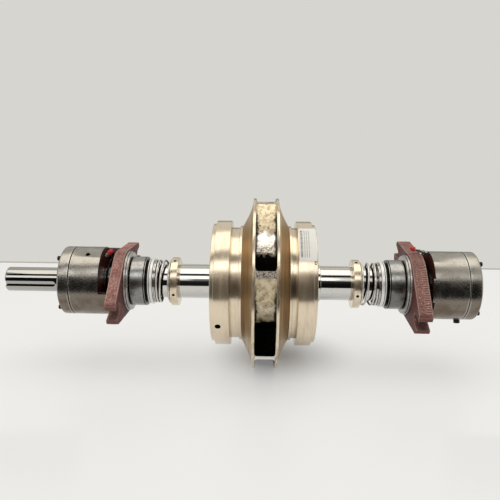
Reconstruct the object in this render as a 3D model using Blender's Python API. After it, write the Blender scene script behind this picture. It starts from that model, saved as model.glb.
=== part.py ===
# Rotating assembly of a double-suction, split-case pump: shaft, impeller, sleeves, spring seals,
# loose wear rings and a bearing cartridge at each end, standing on the impeller's rim.
# Metres, +Z up. +X runs along the shaft from the coupling end to the outboard end.
# Clock angles are measured about the shaft from -Y (the front) up towards +Z.
import math

import bmesh
import bpy
from mathutils import Matrix, Vector

# Facets round a turned piece. The first corner is half a step up, so a flat lies at the bottom.
FINE = 48
PLAIN = 36
COARSE = 24
GAP = 0.0003                    # what touching pieces keep between them

# Driving dimensions: distances along the shaft are counted from the impeller's middle.
RIM_RADIUS = 0.1435
OUTLET_HALF = 0.0163            # half the width of the water passage at the rim
RIM_HALF = 0.0208               # half the width over both shrouds at the rim
LIP_RADIUS = 0.0965
LIP_INNER = 0.0383
LIP_OUTER = 0.0423
EYE_RING_RADIUS = 0.0935        # running surface that the wear ring turns on
EYE_RADIUS = 0.081
HUB_HALF = 0.075                # half the length of the impeller's hub
HUB_NOSE_RADIUS = 0.037
HUB_RIDGE_RADIUS = 0.066
VANE_COUNT = 6
VANE_THICKNESS = 0.0042
VANE_ANGLE = math.radians(25)   # between the vane and the rim
VANE_TIP = math.radians(18.7)   # clock angle of the first vane's tip

STUB_END = 0.4407               # coupling end of the shaft
STUB_RADIUS = 0.0206
JOURNAL_RADIUS = 0.0225
SHAFT_RADIUS = 0.0249
SLEEVE_RADIUS = 0.0283
SLEEVE_BORE = 0.0252
SHOULDER_RADIUS = 0.0315
KEYWAY_WIDTH = 0.0095
KEYWAY_DEPTH = 0.0055
KEYWAY_LENGTH = 0.086
KEYWAY_CLOCK = math.radians(-9)

WEAR_RADIUS = 0.105
WEAR_LIP_RADIUS = 0.0995
WEAR_BORE = 0.0941
WEAR_WIDTH = 0.0247             # full-radius band
WEAR_LENGTH = 0.031             # band and lip

COLLAR_START = 0.146
COLLAR_END = 0.158
COLLAR_RADIUS = 0.041
SPRING_MEAN_RADIUS = 0.0352
WIRE_RADIUS = 0.00175
DISC_RADIUS = 0.0373
RETAINER_RADIUS = 0.039
FACE_RADIUS = 0.035
SEAT_RADIUS = 0.0363
SEAT_BORE = 0.0295
SEAL_HOUSING_RADIUS = 0.0416
SEAL_HOUSING_BORE = 0.0366
PILOT_RADIUS = 0.051

FLANGE_HUB_RADIUS = 0.053
FLANGE_BORE = 0.033
EAR_REACH = 0.0986              # from the shaft's axis to the end of an ear
EAR_HALF_WIDTH = 0.0205
EAR_TAPER = math.radians(20.4)
SLOT_HALF_WIDTH = 0.0094
SLOT_CENTRE = 0.082             # centre of the slot's round bottom

HOUSING_RADIUS = 0.0575
YOKE_BORE = 0.048
HOUSING_BORE = 0.0232
SHOULDER_WALL = 0.005           # painted wall that the windows leave on the housing
OIL_HOLE_RADIUS = 0.0038
COVER_EDGE = 0.0022
DEFLECTOR_RADIUS = 0.038
FITTING_RADIUS = 0.0035
FITTING_NECK = 0.0022
CAP_RADIUS = 0.0042
CAP_LENGTH = 0.0085

# One entry an end: which way it faces along X, then stations and clock angles. The slit leaves
# the windows' webs short of the flange: clock from and to, and where it ends. The fitting has its
# clock angle, its lean from the shaft's direction, its foot's radius and its length.
ENDS = {
    "drive": {
        "side": -1, "wear": 0.0566, "spring": 0.1830, "disc": 0.1834, "retainer": 0.1880,
        "face": 0.1957, "seal_housing": 0.1998, "pilot": 0.2260, "flange": 0.2331,
        "yoke": 0.2522, "barrel": 0.2740, "cover": 0.3215, "outer": 0.3400,
        "ears": math.radians(-20.5), "windows": [(-10, 112), (195, 262)],
        "slit": None, "turns": 2.4,
        "fitting": (74, 45, 0.047, 0.008), "oil_hole": (0.295, 65)},
    "outboard": {
        "side": 1, "wear": 0.0505, "spring": 0.1872, "disc": 0.1877, "retainer": 0.1916,
        "face": 0.1997, "seal_housing": 0.2040, "pilot": 0.2312, "flange": 0.2386,
        "yoke": 0.2620, "barrel": 0.2790, "cover": 0.3300, "outer": 0.3495,
        "ears": math.radians(-27.5), "windows": [(21, 122), (-38, -16), (195, 262)],
        "slit": (-42, 126, 0.2661), "turns": 2.1,
        "fitting": (92, 18, 0.054, 0.0223), "oil_hole": None},
}
SHAFT_END = ENDS["outboard"]["cover"] - 0.004

# The model's middle lies half way between the coupling end and the outboard cover.
IMPELLER_X = (STUB_END - ENDS["outboard"]["outer"]) / 2
AXIS_HEIGHT = RIM_RADIUS * math.cos(math.pi / FINE)

COLOURS = {                     # base colour, metallic, roughness
    "machined steel": ((0.40, 0.39, 0.37), 1.0, 0.42),
    "polished steel": ((0.72, 0.72, 0.71), 1.0, 0.12),
    "bright steel": ((0.66, 0.66, 0.65), 1.0, 0.25),
    "bronze": ((0.78, 0.66, 0.45), 1.0, 0.28),
    "cast bronze": ((0.45, 0.34, 0.22), 1.0, 0.45),
    "red oxide paint": ((0.30, 0.11, 0.09), 0.0, 0.6),
    "dark seal": ((0.05, 0.05, 0.05), 0.0, 0.5),
    "red plastic": ((0.65, 0.03, 0.03), 0.0, 0.35),
}


def clear_scene():
    for item in list(bpy.data.objects):
        bpy.data.objects.remove(item, do_unlink=True)


def material(name):
    """The material of that finish, made on first use."""
    found = bpy.data.materials.get(name)
    if found:
        return found
    colour, metallic, roughness = COLOURS[name]
    made = bpy.data.materials.new(name)
    made.use_nodes = True
    shader = made.node_tree.nodes["Principled BSDF"]
    shader.inputs["Base Color"].default_value = (*colour, 1)
    shader.inputs["Metallic"].default_value = metallic
    shader.inputs["Roughness"].default_value = roughness
    return made


def around(x, radius, clock):
    """A point at a distance from the shaft's axis, at a clock angle."""
    return Vector((x, -radius * math.cos(clock), AXIS_HEIGHT + radius * math.sin(clock)))


def placed(name, mesh_maker, finish, parent=None):
    """An object of the mesh in mesh_maker, shaded smooth, riding on parent."""
    bmesh.ops.recalc_face_normals(mesh_maker, faces=mesh_maker.faces)
    mesh = bpy.data.meshes.new(name)
    mesh_maker.to_mesh(mesh)
    mesh_maker.free()
    piece = bpy.data.objects.new(name, mesh)
    bpy.context.collection.objects.link(piece)
    if finish:
        mesh.materials.append(material(finish))
        mesh.shade_smooth()
        mesh.set_sharp_from_angle(angle=math.radians(35))
    if parent:
        ride(piece, parent)
    return piece


def ride(piece, parent):
    """Put the piece's origin on its parent empty, with its mesh left where it is."""
    shift = parent.location - piece.location
    piece.data.transform(Matrix.Translation(-shift))
    piece.parent = parent


def turned_mesh(outline, facets):
    """Spin an outline of (x, radius) about the shaft. It closes on itself unless it ends on the axis."""
    maker = bmesh.new()
    start = math.pi / facets
    corners = [maker.verts.new(around(x, radius, start)) for x, radius in outline]
    edges = [maker.edges.new(pair) for pair in zip(corners, corners[1:])]
    if outline[0][1] > 0:
        edges.append(maker.edges.new((corners[-1], corners[0])))
    bmesh.ops.spin(maker, geom=corners + edges, cent=(0, 0, AXIS_HEIGHT), axis=(1, 0, 0),
                   angle=2 * math.pi, steps=facets, use_duplicate=False)
    bmesh.ops.remove_doubles(maker, verts=maker.verts, dist=0.00001)
    return maker


def turned(name, outline, facets, finish, parent=None):
    return placed(name, turned_mesh(outline, facets), finish, parent)


def ring_outline(start, end, bore, radius, bevel=0.0):
    """A ring's section, with its outer corners cut off by bevel."""
    if not bevel:
        return [(start, bore), (start, radius), (end, radius), (end, bore)]
    return [(start, bore), (start, radius - bevel), (start + bevel, radius),
            (end - bevel, radius), (end, radius - bevel), (end, bore)]


def guide(piece):
    """Mark a helper that only cuts or joins another piece."""
    piece.hide_render = True
    piece.display_type = "WIRE"
    return piece


def combine(piece, helper, operation):
    change = piece.modifiers.new(helper.name, "BOOLEAN")
    change.operation = operation
    change.solver = "EXACT"
    change.object = guide(helper)


def prism(name, outline, start, end, finish=None, parent=None, bore=0.0, clock=0.0):
    """Extrude an outline of (along, across) along X. The along direction lies at a clock angle."""
    maker = bmesh.new()
    along = Vector((0, -math.cos(clock), math.sin(clock)))
    across = Vector((0, math.sin(clock), math.cos(clock)))
    centre = Vector((start, 0, AXIS_HEIGHT))
    corners = [maker.verts.new(centre + along * a + across * b) for a, b in outline]
    face = maker.faces.new(corners)
    grown = bmesh.ops.extrude_face_region(maker, geom=[face])
    moved = [item for item in grown["geom"] if isinstance(item, bmesh.types.BMVert)]
    bmesh.ops.translate(maker, verts=moved, vec=(end - start, 0, 0))
    piece = placed(name, maker, finish, parent)
    if bore:
        cutter = turned(name + " bore", ring_solid(min(start, end) - bore, max(start, end) + bore, bore),
                        PLAIN, None, parent)
        combine(piece, cutter, "DIFFERENCE")
    return piece


def ring_solid(start, end, radius):
    """A plain cylinder's half section, from the axis out and back."""
    return [(start, 0), (start, radius), (end, radius), (end, 0)]


def arc(centre, radius, first, last, steps):
    """Points of an arc about centre, from angle first to angle last."""
    points = []
    for step in range(steps + 1):
        angle = first + (last - first) * step / steps
        points.append((centre[0] + radius * math.cos(angle), centre[1] + radius * math.sin(angle)))
    return points


def body_origin(name, x=0.0):
    """An empty on the shaft's axis that a moving body's pieces are parented to."""
    empty = bpy.data.objects.new(name, None)
    empty.location = (x, 0, AXIS_HEIGHT)
    bpy.context.collection.objects.link(empty)
    return empty


# The impeller is one casting: a hub with a ridge between its two halves, six vanes and two flared
# shrouds. Each is a solid of its own, so that the passages between them stay open.

FLARE_POWER = 1.6
BEND_LENGTH = 0.016             # the passage's bend from the eye into the flare
BEND_HEIGHT = 0.011
BEND_START = 0.030
HUB_STEPS = 4
VANE_ROOT_HALF = 0.034          # half the vane's width at the hub
VANE_EYE_HALF = 0.043           # and where it meets the shroud's eye
ROOT_GAP = 0.0008                # the vanes' roots curve round the hub between their corners


def shroud_outside(radius):
    part = (RIM_RADIUS - radius) / (RIM_RADIUS - LIP_RADIUS)
    return RIM_HALF + (LIP_INNER - RIM_HALF) * part ** FLARE_POWER


def shroud_inside(radius):
    bend_radius = EYE_RADIUS + BEND_HEIGHT
    if radius >= bend_radius:
        part = (RIM_RADIUS - radius) / (RIM_RADIUS - bend_radius)
        return OUTLET_HALF + (BEND_START - OUTLET_HALF) * part ** FLARE_POWER
    down = (bend_radius - radius) / BEND_HEIGHT
    return BEND_START + BEND_LENGTH * (1 - math.sqrt(max(0.0, 1 - down ** 2)))


def passage_side():
    """The shroud's inner surface as (x, radius), from the eye out to the rim."""
    bend_radius = EYE_RADIUS + BEND_HEIGHT
    radii = [bend_radius - BEND_HEIGHT * share for share in (1.0, 0.86, 0.5, 0.0)]
    radii += [bend_radius + (RIM_RADIUS - bend_radius) * step / 3 for step in range(1, 4)]
    return [(shroud_inside(radius), radius) for radius in radii]


def make_shroud(name, end, rotor):
    steps = 5
    outside = []
    for step in range(steps + 1):
        radius = RIM_RADIUS + (LIP_RADIUS - RIM_RADIUS) * step / steps
        outside.append((shroud_outside(radius), radius))
    ring = [(LIP_OUTER, LIP_RADIUS), (LIP_OUTER, EYE_RING_RADIUS), (HUB_HALF, EYE_RING_RADIUS),
            (HUB_HALF, EYE_RADIUS)]
    turned(f"impeller_{name}_shroud", along(end, *(outside + ring + passage_side())), FINE,
           "cast bronze", rotor)


def hub_side():
    """The hub's outer surface as (x, radius), from the ridge at its middle to its nose."""
    foot = HUB_HALF - 0.010
    side = []
    for step in range(HUB_STEPS + 1):
        x = foot * step / HUB_STEPS
        side.append((x, HUB_NOSE_RADIUS + (HUB_RIDGE_RADIUS - HUB_NOSE_RADIUS) * (1 - x / foot) ** 2))
    return side + [(HUB_HALF, HUB_NOSE_RADIUS)]


def make_hub(rotor):
    side = hub_side()
    outer = [(-x, radius) for x, radius in reversed(side)] + side[1:]
    bore = [(HUB_HALF, SLEEVE_BORE), (-HUB_HALF, SLEEVE_BORE)]
    turned("impeller_hub", [(IMPELLER_X + x, radius) for x, radius in outer + bore], FINE,
           "cast bronze", rotor)


def between(points, along_first, value):
    """Read the other coordinate of a line of (x, radius) points at an x, or at a radius."""
    known, wanted = (0, 1) if along_first else (1, 0)
    for before, after in zip(points, points[1:]):
        low, high = sorted((before[known], after[known]))
        if low <= value <= high:
            share = (value - before[known]) / (after[known] - before[known])
            return before[wanted] + (after[wanted] - before[wanted]) * share
    return points[-1][wanted] if value > points[-1][known] else points[0][wanted]


def vane_half_width(radius):
    """How far a vane reaches along the shaft: to the shroud, or to its free edge in the eye."""
    facet = math.cos(math.pi / FINE)
    if radius / facet > EYE_RADIUS:
        reach = between(passage_side(), False, min(radius / facet, RIM_RADIUS)) - GAP
        return min(reach, VANE_EYE_HALF)
    share = (radius - HUB_NOSE_RADIUS) / (EYE_RADIUS - HUB_NOSE_RADIUS)
    return VANE_ROOT_HALF + (VANE_EYE_HALF - VANE_ROOT_HALF) * share


def make_vane(index, rotor):
    maker = bmesh.new()
    outer = RIM_RADIUS - 0.0006
    tip = VANE_TIP + index * 2 * math.pi / VANE_COUNT
    across = [step / 4 for step in range(-4, 5)]
    root = [between(hub_side(), True, abs(share) * VANE_ROOT_HALF) + ROOT_GAP for share in across]
    radii = [root[0], 0.055, 0.068] + [radius for x, radius in passage_side()[:-1]] + [outer]
    rows = []
    for edge in radii:
        rise = (edge - radii[0]) / (outer - radii[0])
        row = []
        for share, foot in zip(across, root):
            radius = foot + (outer - foot) * rise
            if abs(share) == 1:
                radius = edge
            middle = tip - math.log(outer / radius) / math.tan(VANE_ANGLE)
            spread = VANE_THICKNESS / (2 * radius * math.sin(VANE_ANGLE))
            x = IMPELLER_X + share * vane_half_width(radius)
            row.append([maker.verts.new(around(x, radius, middle + turn)) for turn in (-spread, spread)])
        rows.append(row)
    for low, high in zip(rows, rows[1:]):
        for column in range(len(across) - 1):
            for side in (0, 1):
                maker.faces.new((low[column][side], low[column + 1][side],
                                 high[column + 1][side], high[column][side]))
        for column in (0, -1):
            maker.faces.new((low[column][0], low[column][1], high[column][1], high[column][0]))
    for row in (rows[0], rows[-1]):
        for column in range(len(across) - 1):
            maker.faces.new((row[column][0], row[column][1], row[column + 1][1], row[column + 1][0]))
    placed(f"impeller_vane_{index + 1}", maker, "cast bronze", rotor)


def make_impeller(rotor):
    make_hub(rotor)
    for index in range(VANE_COUNT):
        make_vane(index, rotor)
    for name, end in ENDS.items():
        make_shroud(name, end, rotor)


# The shaft and what is clamped on it.

def make_shaft(rotor):
    cover = ENDS["drive"]["cover"]
    short = 0.0016              # the thick middle ends this far before each housing's wall
    drive_step, outboard_step = (end["barrel"] - SHOULDER_WALL - short for end in ENDS.values())
    chamfer = 0.0022
    outline = [(-STUB_END, 0), (-STUB_END, STUB_RADIUS - chamfer), (-STUB_END + chamfer, STUB_RADIUS),
               (-cover, STUB_RADIUS), (-cover, JOURNAL_RADIUS),
               (-drive_step, JOURNAL_RADIUS), (-drive_step, SHAFT_RADIUS),
               (outboard_step, SHAFT_RADIUS), (outboard_step, JOURNAL_RADIUS),
               (SHAFT_END - chamfer, JOURNAL_RADIUS), (SHAFT_END, JOURNAL_RADIUS - chamfer), (SHAFT_END, 0)]
    shaft = turned("shaft", [(IMPELLER_X + x, radius) for x, radius in outline], PLAIN,
                   "polished steel", rotor)
    floor = STUB_RADIUS - KEYWAY_DEPTH
    top = STUB_RADIUS + KEYWAY_DEPTH
    half = KEYWAY_WIDTH / 2
    keyway = prism("keyway", [(floor, -half), (top, -half), (top, half), (floor, half)],
                   IMPELLER_X - STUB_END - KEYWAY_DEPTH, IMPELLER_X - STUB_END + KEYWAY_LENGTH,
                   parent=rotor, clock=KEYWAY_CLOCK)
    combine(shaft, keyway, "DIFFERENCE")


def along(end, *outline):
    """Carry a section given in distances from the impeller to that end of the shaft."""
    return [(IMPELLER_X + end["side"] * x, radius) for x, radius in outline]


def make_sleeve(name, end, rotor):
    start = HUB_HALF + GAP
    shoulder = start + 0.0165
    stop = end["seal_housing"] + 0.015
    turned(name + "_shaft_sleeve", along(
        end, (start, SLEEVE_BORE), (start, SHOULDER_RADIUS), (shoulder, SHOULDER_RADIUS),
        (shoulder, SLEEVE_RADIUS), (stop, SLEEVE_RADIUS), (stop, SLEEVE_BORE)),
        PLAIN, "polished steel", rotor)


def make_rotating_seal(name, end, rotor):
    bore = SLEEVE_RADIUS + GAP
    collar = turned(name + "_seal_collar",
                    along(end, *ring_outline(COLLAR_START, COLLAR_END, bore, COLLAR_RADIUS, 0.0008)),
                    PLAIN, "bronze", rotor)
    for clock in (58, -42):
        hole = drill(name + " set screw", IMPELLER_X + end["side"] * (COLLAR_START + 0.006),
                     math.radians(clock), 0.0024, COLLAR_RADIUS - 0.006, COLLAR_RADIUS + 0.003, rotor)
        combine(collar, hole, "DIFFERENCE")
    make_spring(name + "_seal_spring", end, rotor)
    turned(name + "_spring_disc",
           along(end, *ring_outline(end["disc"], end["retainer"] - GAP, bore, DISC_RADIUS)),
           COARSE, "bright steel", rotor)
    turned(name + "_seal_retainer",
           along(end, *ring_outline(end["retainer"], end["face"] - GAP, bore, RETAINER_RADIUS, 0.0006)),
           PLAIN, "bright steel", rotor)
    turned(name + "_seal_face",
           along(end, *ring_outline(end["face"], end["face"] + 0.0022, bore, FACE_RADIUS)),
           COARSE, "dark seal", rotor)


def drill(name, x, clock, radius, inner, outer, parent):
    """A short rod that points away from the shaft at a clock angle, used as a drill."""
    maker = bmesh.new()
    out = Vector((0, -math.cos(clock), math.sin(clock)))
    turn = out.to_track_quat("Z", "Y").to_matrix().to_4x4()
    place = Matrix.Translation(around(x, (inner + outer) / 2, clock)) @ turn
    bmesh.ops.create_cone(maker, cap_ends=True, segments=12, radius1=radius, radius2=radius,
                          depth=outer - inner, matrix=place)
    return placed(name, maker, None, parent)


def make_spring(name, end, rotor):
    """A round wire wound between the collar and the spring disc."""
    sides, per_turn = 6, 18
    first = COLLAR_END + GAP + WIRE_RADIUS
    last = end["spring"] - WIRE_RADIUS
    steps = round(end["turns"] * per_turn)
    maker = bmesh.new()
    before = None
    for step in range(steps + 1):
        clock = 2 * math.pi * step / per_turn
        middle = first + (last - first) * step / steps
        ring = []
        for side in range(sides):
            angle = 2 * math.pi * (side + 0.5) / sides
            x = middle + WIRE_RADIUS * math.cos(angle)
            ring.append(maker.verts.new(around(IMPELLER_X + end["side"] * x,
                                               SPRING_MEAN_RADIUS + WIRE_RADIUS * math.sin(angle), clock)))
        if before:
            for corner in range(sides):
                after = (corner + 1) % sides
                maker.faces.new((before[corner], before[after], ring[after], ring[corner]))
        else:
            maker.faces.new(ring)
        before = ring
    maker.faces.new(before)
    placed(name, maker, "bright steel", rotor)


def make_deflector(name, end, rotor):
    middle = (end["yoke"] + end["barrel"] - SHOULDER_WALL) / 2
    half = 0.0015
    bore = SHAFT_RADIUS + GAP
    boss = 0.0295
    turned(name + "_deflector", along(
        end, (middle - half, bore), (middle - half, DEFLECTOR_RADIUS), (middle + half, DEFLECTOR_RADIUS),
        (middle + half, boss), (middle + 3 * half, boss), (middle + 3 * half, bore)),
        COARSE, "machined steel", rotor)


def make_wear_ring(name, end, body):
    start, bevel = end["wear"], 0.0014
    band, stop = start + WEAR_WIDTH, start + WEAR_LENGTH
    turned(name + "_wear_ring", along(
        end, (start, WEAR_BORE), (start, WEAR_RADIUS), (band, WEAR_RADIUS),
        (band, WEAR_LIP_RADIUS), (stop - bevel, WEAR_LIP_RADIUS), (stop, WEAR_LIP_RADIUS - bevel),
        (stop, WEAR_BORE)), FINE, "bronze", body)


# The bearing cartridge at each end.

def make_seal_seat(name, end, body):
    start = end["face"] + 0.0022 + GAP
    turned(name + "_seal_seat",
           along(end, *ring_outline(start, end["seal_housing"] + 0.006, SEAT_BORE, SEAT_RADIUS)),
           COARSE, "dark seal", body)


def make_seal_housing(name, end, body):
    start, stop, groove = end["seal_housing"], end["pilot"] - GAP, 0.0018
    turned(name + "_seal_housing", along(
        end, (start, SEAL_HOUSING_BORE), (start, SEAL_HOUSING_RADIUS - 0.0008),
        (start + 0.0008, SEAL_HOUSING_RADIUS), (stop - groove, SEAL_HOUSING_RADIUS),
        (stop - groove, SEAL_HOUSING_RADIUS - groove), (stop, SEAL_HOUSING_RADIUS - groove),
        (stop, SEAL_HOUSING_BORE)), PLAIN, "machined steel", body)


def make_pilot_ring(name, end, body):
    turned(name + "_pilot_ring",
           along(end, *ring_outline(end["pilot"], end["flange"] - GAP, FLANGE_BORE, PILOT_RADIUS, 0.001)),
           PLAIN, "machined steel", body)


def ear_outline():
    """Half of the flange's outline: one ear with its open slot, then the hub's arc to the other side."""
    reach, half = EAR_REACH, EAR_HALF_WIDTH
    corner = 0.004
    slot = [(reach, -SLOT_HALF_WIDTH)]
    slot += arc((SLOT_CENTRE, 0), SLOT_HALF_WIDTH, -math.pi / 2, -3 * math.pi / 2, 8)
    slot += [(reach, SLOT_HALF_WIDTH)]
    side = [(reach, half - corner), (reach - corner, half)]
    hub = arc((0, 0), FLANGE_HUB_RADIUS, math.pi / 2 - EAR_TAPER, math.pi / 2 + EAR_TAPER, 5)
    return [(reach - corner, -half), (reach, corner - half)] + slot + side + hub


def make_flange(name, end, body):
    half = ear_outline()
    outline = half + [(-a, -b) for a, b in half]
    start = IMPELLER_X + end["side"] * end["flange"]
    stop = IMPELLER_X + end["side"] * (end["yoke"] - GAP)
    prism(name + "_mounting_flange", outline, start, stop, "red oxide paint", body,
          bore=FLANGE_BORE, clock=end["ears"])


def window_cutter(name, end, first, last, high, body):
    """A curved block that opens the yoke between two clock angles, as far as a station."""
    inner, outer = YOKE_BORE - 0.004, HOUSING_RADIUS + 0.004
    low = end["yoke"] - 0.002
    maker = bmesh.new()
    steps = max(2, round((last - first) / 12))
    before = None
    for step in range(steps + 1):
        clock = math.radians(first + (last - first) * step / steps)
        corners = ((low, inner), (high, inner), (high, outer), (low, outer))
        ring = [maker.verts.new(around(IMPELLER_X + end["side"] * x, radius, clock)) for x, radius in corners]
        if before:
            for corner in range(4):
                after = (corner + 1) % 4
                maker.faces.new((before[corner], before[after], ring[after], ring[corner]))
        else:
            maker.faces.new(ring)
        before = ring
    maker.faces.new(before)
    return placed(name, maker, None, body)


def make_bearing_housing(name, end, body):
    wall = end["barrel"] - SHOULDER_WALL
    stop = end["cover"] - GAP
    housing = turned(name + "_bearing_housing", along(
        end, (end["yoke"], YOKE_BORE), (end["yoke"], HOUSING_RADIUS), (stop, HOUSING_RADIUS),
        (stop, HOUSING_BORE), (wall, HOUSING_BORE), (wall, YOKE_BORE)), FINE, "machined steel", body)
    openings = [(first, last, wall) for first, last in end["windows"]]
    if end["slit"]:
        openings.append(end["slit"])
    for index, (first, last, stop) in enumerate(openings):
        cutter = window_cutter(f"{name} window {index + 1}", end, first, last, stop, body)
        combine(housing, cutter, "DIFFERENCE")
    if end["oil_hole"]:
        x, clock = end["oil_hole"]
        hole = drill(name + " oil hole", IMPELLER_X + end["side"] * x, math.radians(clock),
                     OIL_HOLE_RADIUS, HOUSING_RADIUS - 0.012, HOUSING_RADIUS + 0.004, body)
        combine(housing, hole, "DIFFERENCE")


def make_drive_cover(end, body):
    bore = 0.0272
    turned("drive_end_cover",
           along(end, *ring_outline(end["cover"], end["outer"], bore, HOUSING_RADIUS, COVER_EDGE)),
           FINE, "machined steel", body)
    turned("drive_shaft_seal",
           along(end, *ring_outline(end["cover"] + 0.006, end["outer"] - 0.0015, STUB_RADIUS + 0.0005,
                                    bore - GAP)), COARSE, "dark seal", body)


def make_outboard_cover(end, body):
    edge = COVER_EDGE
    turned("outboard_end_cover", along(
        end, (end["cover"], 0), (end["cover"], HOUSING_RADIUS), (end["outer"] - edge, HOUSING_RADIUS),
        (end["outer"], HOUSING_RADIUS - edge), (end["outer"], 0)), FINE, "machined steel", body)


def rod_along(name, start, direction, stations, facets, finish, parent):
    """A small turned piece on its own axis: stations are (distance, radius) from start."""
    maker = bmesh.new()
    turn = direction.to_track_quat("X", "Z").to_matrix()
    profile = [(stations[0][0], 0.0)] + stations + [(stations[-1][0], 0.0)]
    corners = [maker.verts.new((x, radius, 0)) for x, radius in profile]
    edges = [maker.edges.new(pair) for pair in zip(corners, corners[1:])]
    bmesh.ops.spin(maker, geom=corners + edges, cent=(0, 0, 0), axis=(1, 0, 0),
                   angle=2 * math.pi, steps=facets, use_duplicate=False)
    bmesh.ops.remove_doubles(maker, verts=maker.verts, dist=0.00001)
    bmesh.ops.transform(maker, matrix=Matrix.Translation(start) @ turn.to_4x4(), verts=maker.verts)
    return placed(name, maker, finish, parent)


def make_fitting(name, end, body):
    """A grease fitting that leans out of the window's wall towards the impeller, with its cap."""
    clock, lean, seat, length = end["fitting"]
    clock, lean = math.radians(clock), math.radians(lean)
    radial = Vector((0, -math.cos(clock), math.sin(clock)))
    inboard = Vector((-end["side"], 0, 0))
    direction = radial * math.sin(lean) + inboard * math.cos(lean)
    wall = IMPELLER_X + end["side"] * (end["barrel"] - SHOULDER_WALL - GAP)
    start = around(wall, seat, clock) + inboard * (FITTING_RADIUS * math.sin(lean))
    shank = length - 0.002
    rod_along(name + "_grease_fitting", start, direction,
              [(0.0, FITTING_RADIUS), (shank, FITTING_RADIUS), (shank + 0.0002, FITTING_NECK),
               (length, FITTING_NECK)], 12, "bright steel", body)
    rod_along(name + "_fitting_cap", start + direction * (length + GAP), direction,
              [(0.0, CAP_RADIUS), (CAP_LENGTH - 0.0015, CAP_RADIUS), (CAP_LENGTH, 0.0026)], 12,
              "red plastic", body)


def make_cartridge(name, end, body):
    make_seal_seat(name, end, body)
    make_seal_housing(name, end, body)
    make_pilot_ring(name, end, body)
    make_flange(name, end, body)
    make_bearing_housing(name, end, body)
    make_fitting(name, end, body)


def make_drain_plug(end, body):
    clock = math.radians(-76)
    start = around(IMPELLER_X + 0.325, HOUSING_RADIUS + GAP, clock)
    out = Vector((0, -math.cos(clock), math.sin(clock)))
    rod_along("outboard_drain_plug", start, out, [(0.0, 0.0052), (0.0055, 0.0052), (0.0063, 0.0042)],
              12, "dark seal", body)


def build():
    clear_scene()
    rotor = body_origin("rotor axis", IMPELLER_X)
    make_shaft(rotor)
    make_impeller(rotor)
    for name, end in ENDS.items():
        make_sleeve(name, end, rotor)
        make_rotating_seal(name, end, rotor)
        make_deflector(name, end, rotor)
        make_wear_ring(name, end, body_origin(name + " wear ring axis", IMPELLER_X + end["side"] * end["wear"]))
        cartridge = body_origin(name + " cartridge axis", IMPELLER_X + end["side"] * end["barrel"])
        make_cartridge(name, end, cartridge)
        if name == "drive":
            make_drive_cover(end, cartridge)
        else:
            make_outboard_cover(end, cartridge)
            make_drain_plug(end, cartridge)


build()
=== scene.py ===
# Rotating assembly of a split-case pump, standing on a pale bench on its impeller's rim
import math

import bmesh
import bpy
import numpy as np
from mathutils import Matrix, Vector, noise


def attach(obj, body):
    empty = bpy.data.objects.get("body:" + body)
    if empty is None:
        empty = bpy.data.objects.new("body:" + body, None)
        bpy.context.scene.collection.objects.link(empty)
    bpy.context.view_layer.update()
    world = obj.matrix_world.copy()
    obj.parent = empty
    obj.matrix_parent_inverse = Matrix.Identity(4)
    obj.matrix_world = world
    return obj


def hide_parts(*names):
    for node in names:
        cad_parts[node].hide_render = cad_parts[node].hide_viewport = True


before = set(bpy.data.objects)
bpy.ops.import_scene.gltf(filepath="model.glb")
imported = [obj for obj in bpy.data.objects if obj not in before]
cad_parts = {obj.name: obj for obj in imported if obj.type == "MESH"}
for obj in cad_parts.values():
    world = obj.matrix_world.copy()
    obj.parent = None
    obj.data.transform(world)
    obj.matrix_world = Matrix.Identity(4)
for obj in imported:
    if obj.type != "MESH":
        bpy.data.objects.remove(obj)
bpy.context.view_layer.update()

# Everything is measured from the shaft's axis and from the impeller's middle
row = {"impellerX": 0.0456, "axisZ": 0.143193, "gap": 0.0003, "wall": 0.005}

# Stations of each end along the shaft; the clock runs from -Y up to +Z
ends = {
    "drive": {"side": -1, "wear": 0.0566, "spring": 0.1830, "disc": 0.1834, "retainer": 0.1880,
              "face": 0.1957, "sealHousing": 0.1998, "pilot": 0.2260, "flange": 0.2331, "yoke": 0.2522,
              "barrel": 0.2775, "cover": 0.3215, "outer": 0.3400, "ears": -20.5,
              "coil": (140, 2.75, 0.22, 2.5),
              "windows": [(-10, 112), (195, 262)], "slit": None, "fitting": (74, 45, 0.0455, 0.0095),
              "holes": (-20, 70, 160, 250)},
    "outboard": {"side": 1, "wear": 0.0505, "spring": 0.1872, "disc": 0.1877, "retainer": 0.1916,
                 "face": 0.1997, "sealHousing": 0.2040, "pilot": 0.2312, "flange": 0.2386,
                 "yoke": 0.2620, "barrel": 0.2790, "cover": 0.3300, "outer": 0.3495, "ears": -27.5,
                 "coil": (-60, -3.17, 0.21, 1.86), "windows": [(24, 122), (-38, -16), (195, 262)],
                 "slit": (-42, 126, 0.2705), "fitting": (92, 18, 0.054, 0.0223),
                 "holes": (-16, 74, 164, 254)},
}


def linear(red, green, blue):
    # a display colour, 0 to 255, as the renderer's own numbers
    return tuple(c / 12.92 if c <= 0.04045 else ((c + 0.055) / 1.055) ** 2.4
                 for c in (red / 255, green / 255, blue / 255)) + (1.0,)


# Sums written as Python: the same class serves the finishes and the geometry rules

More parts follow.
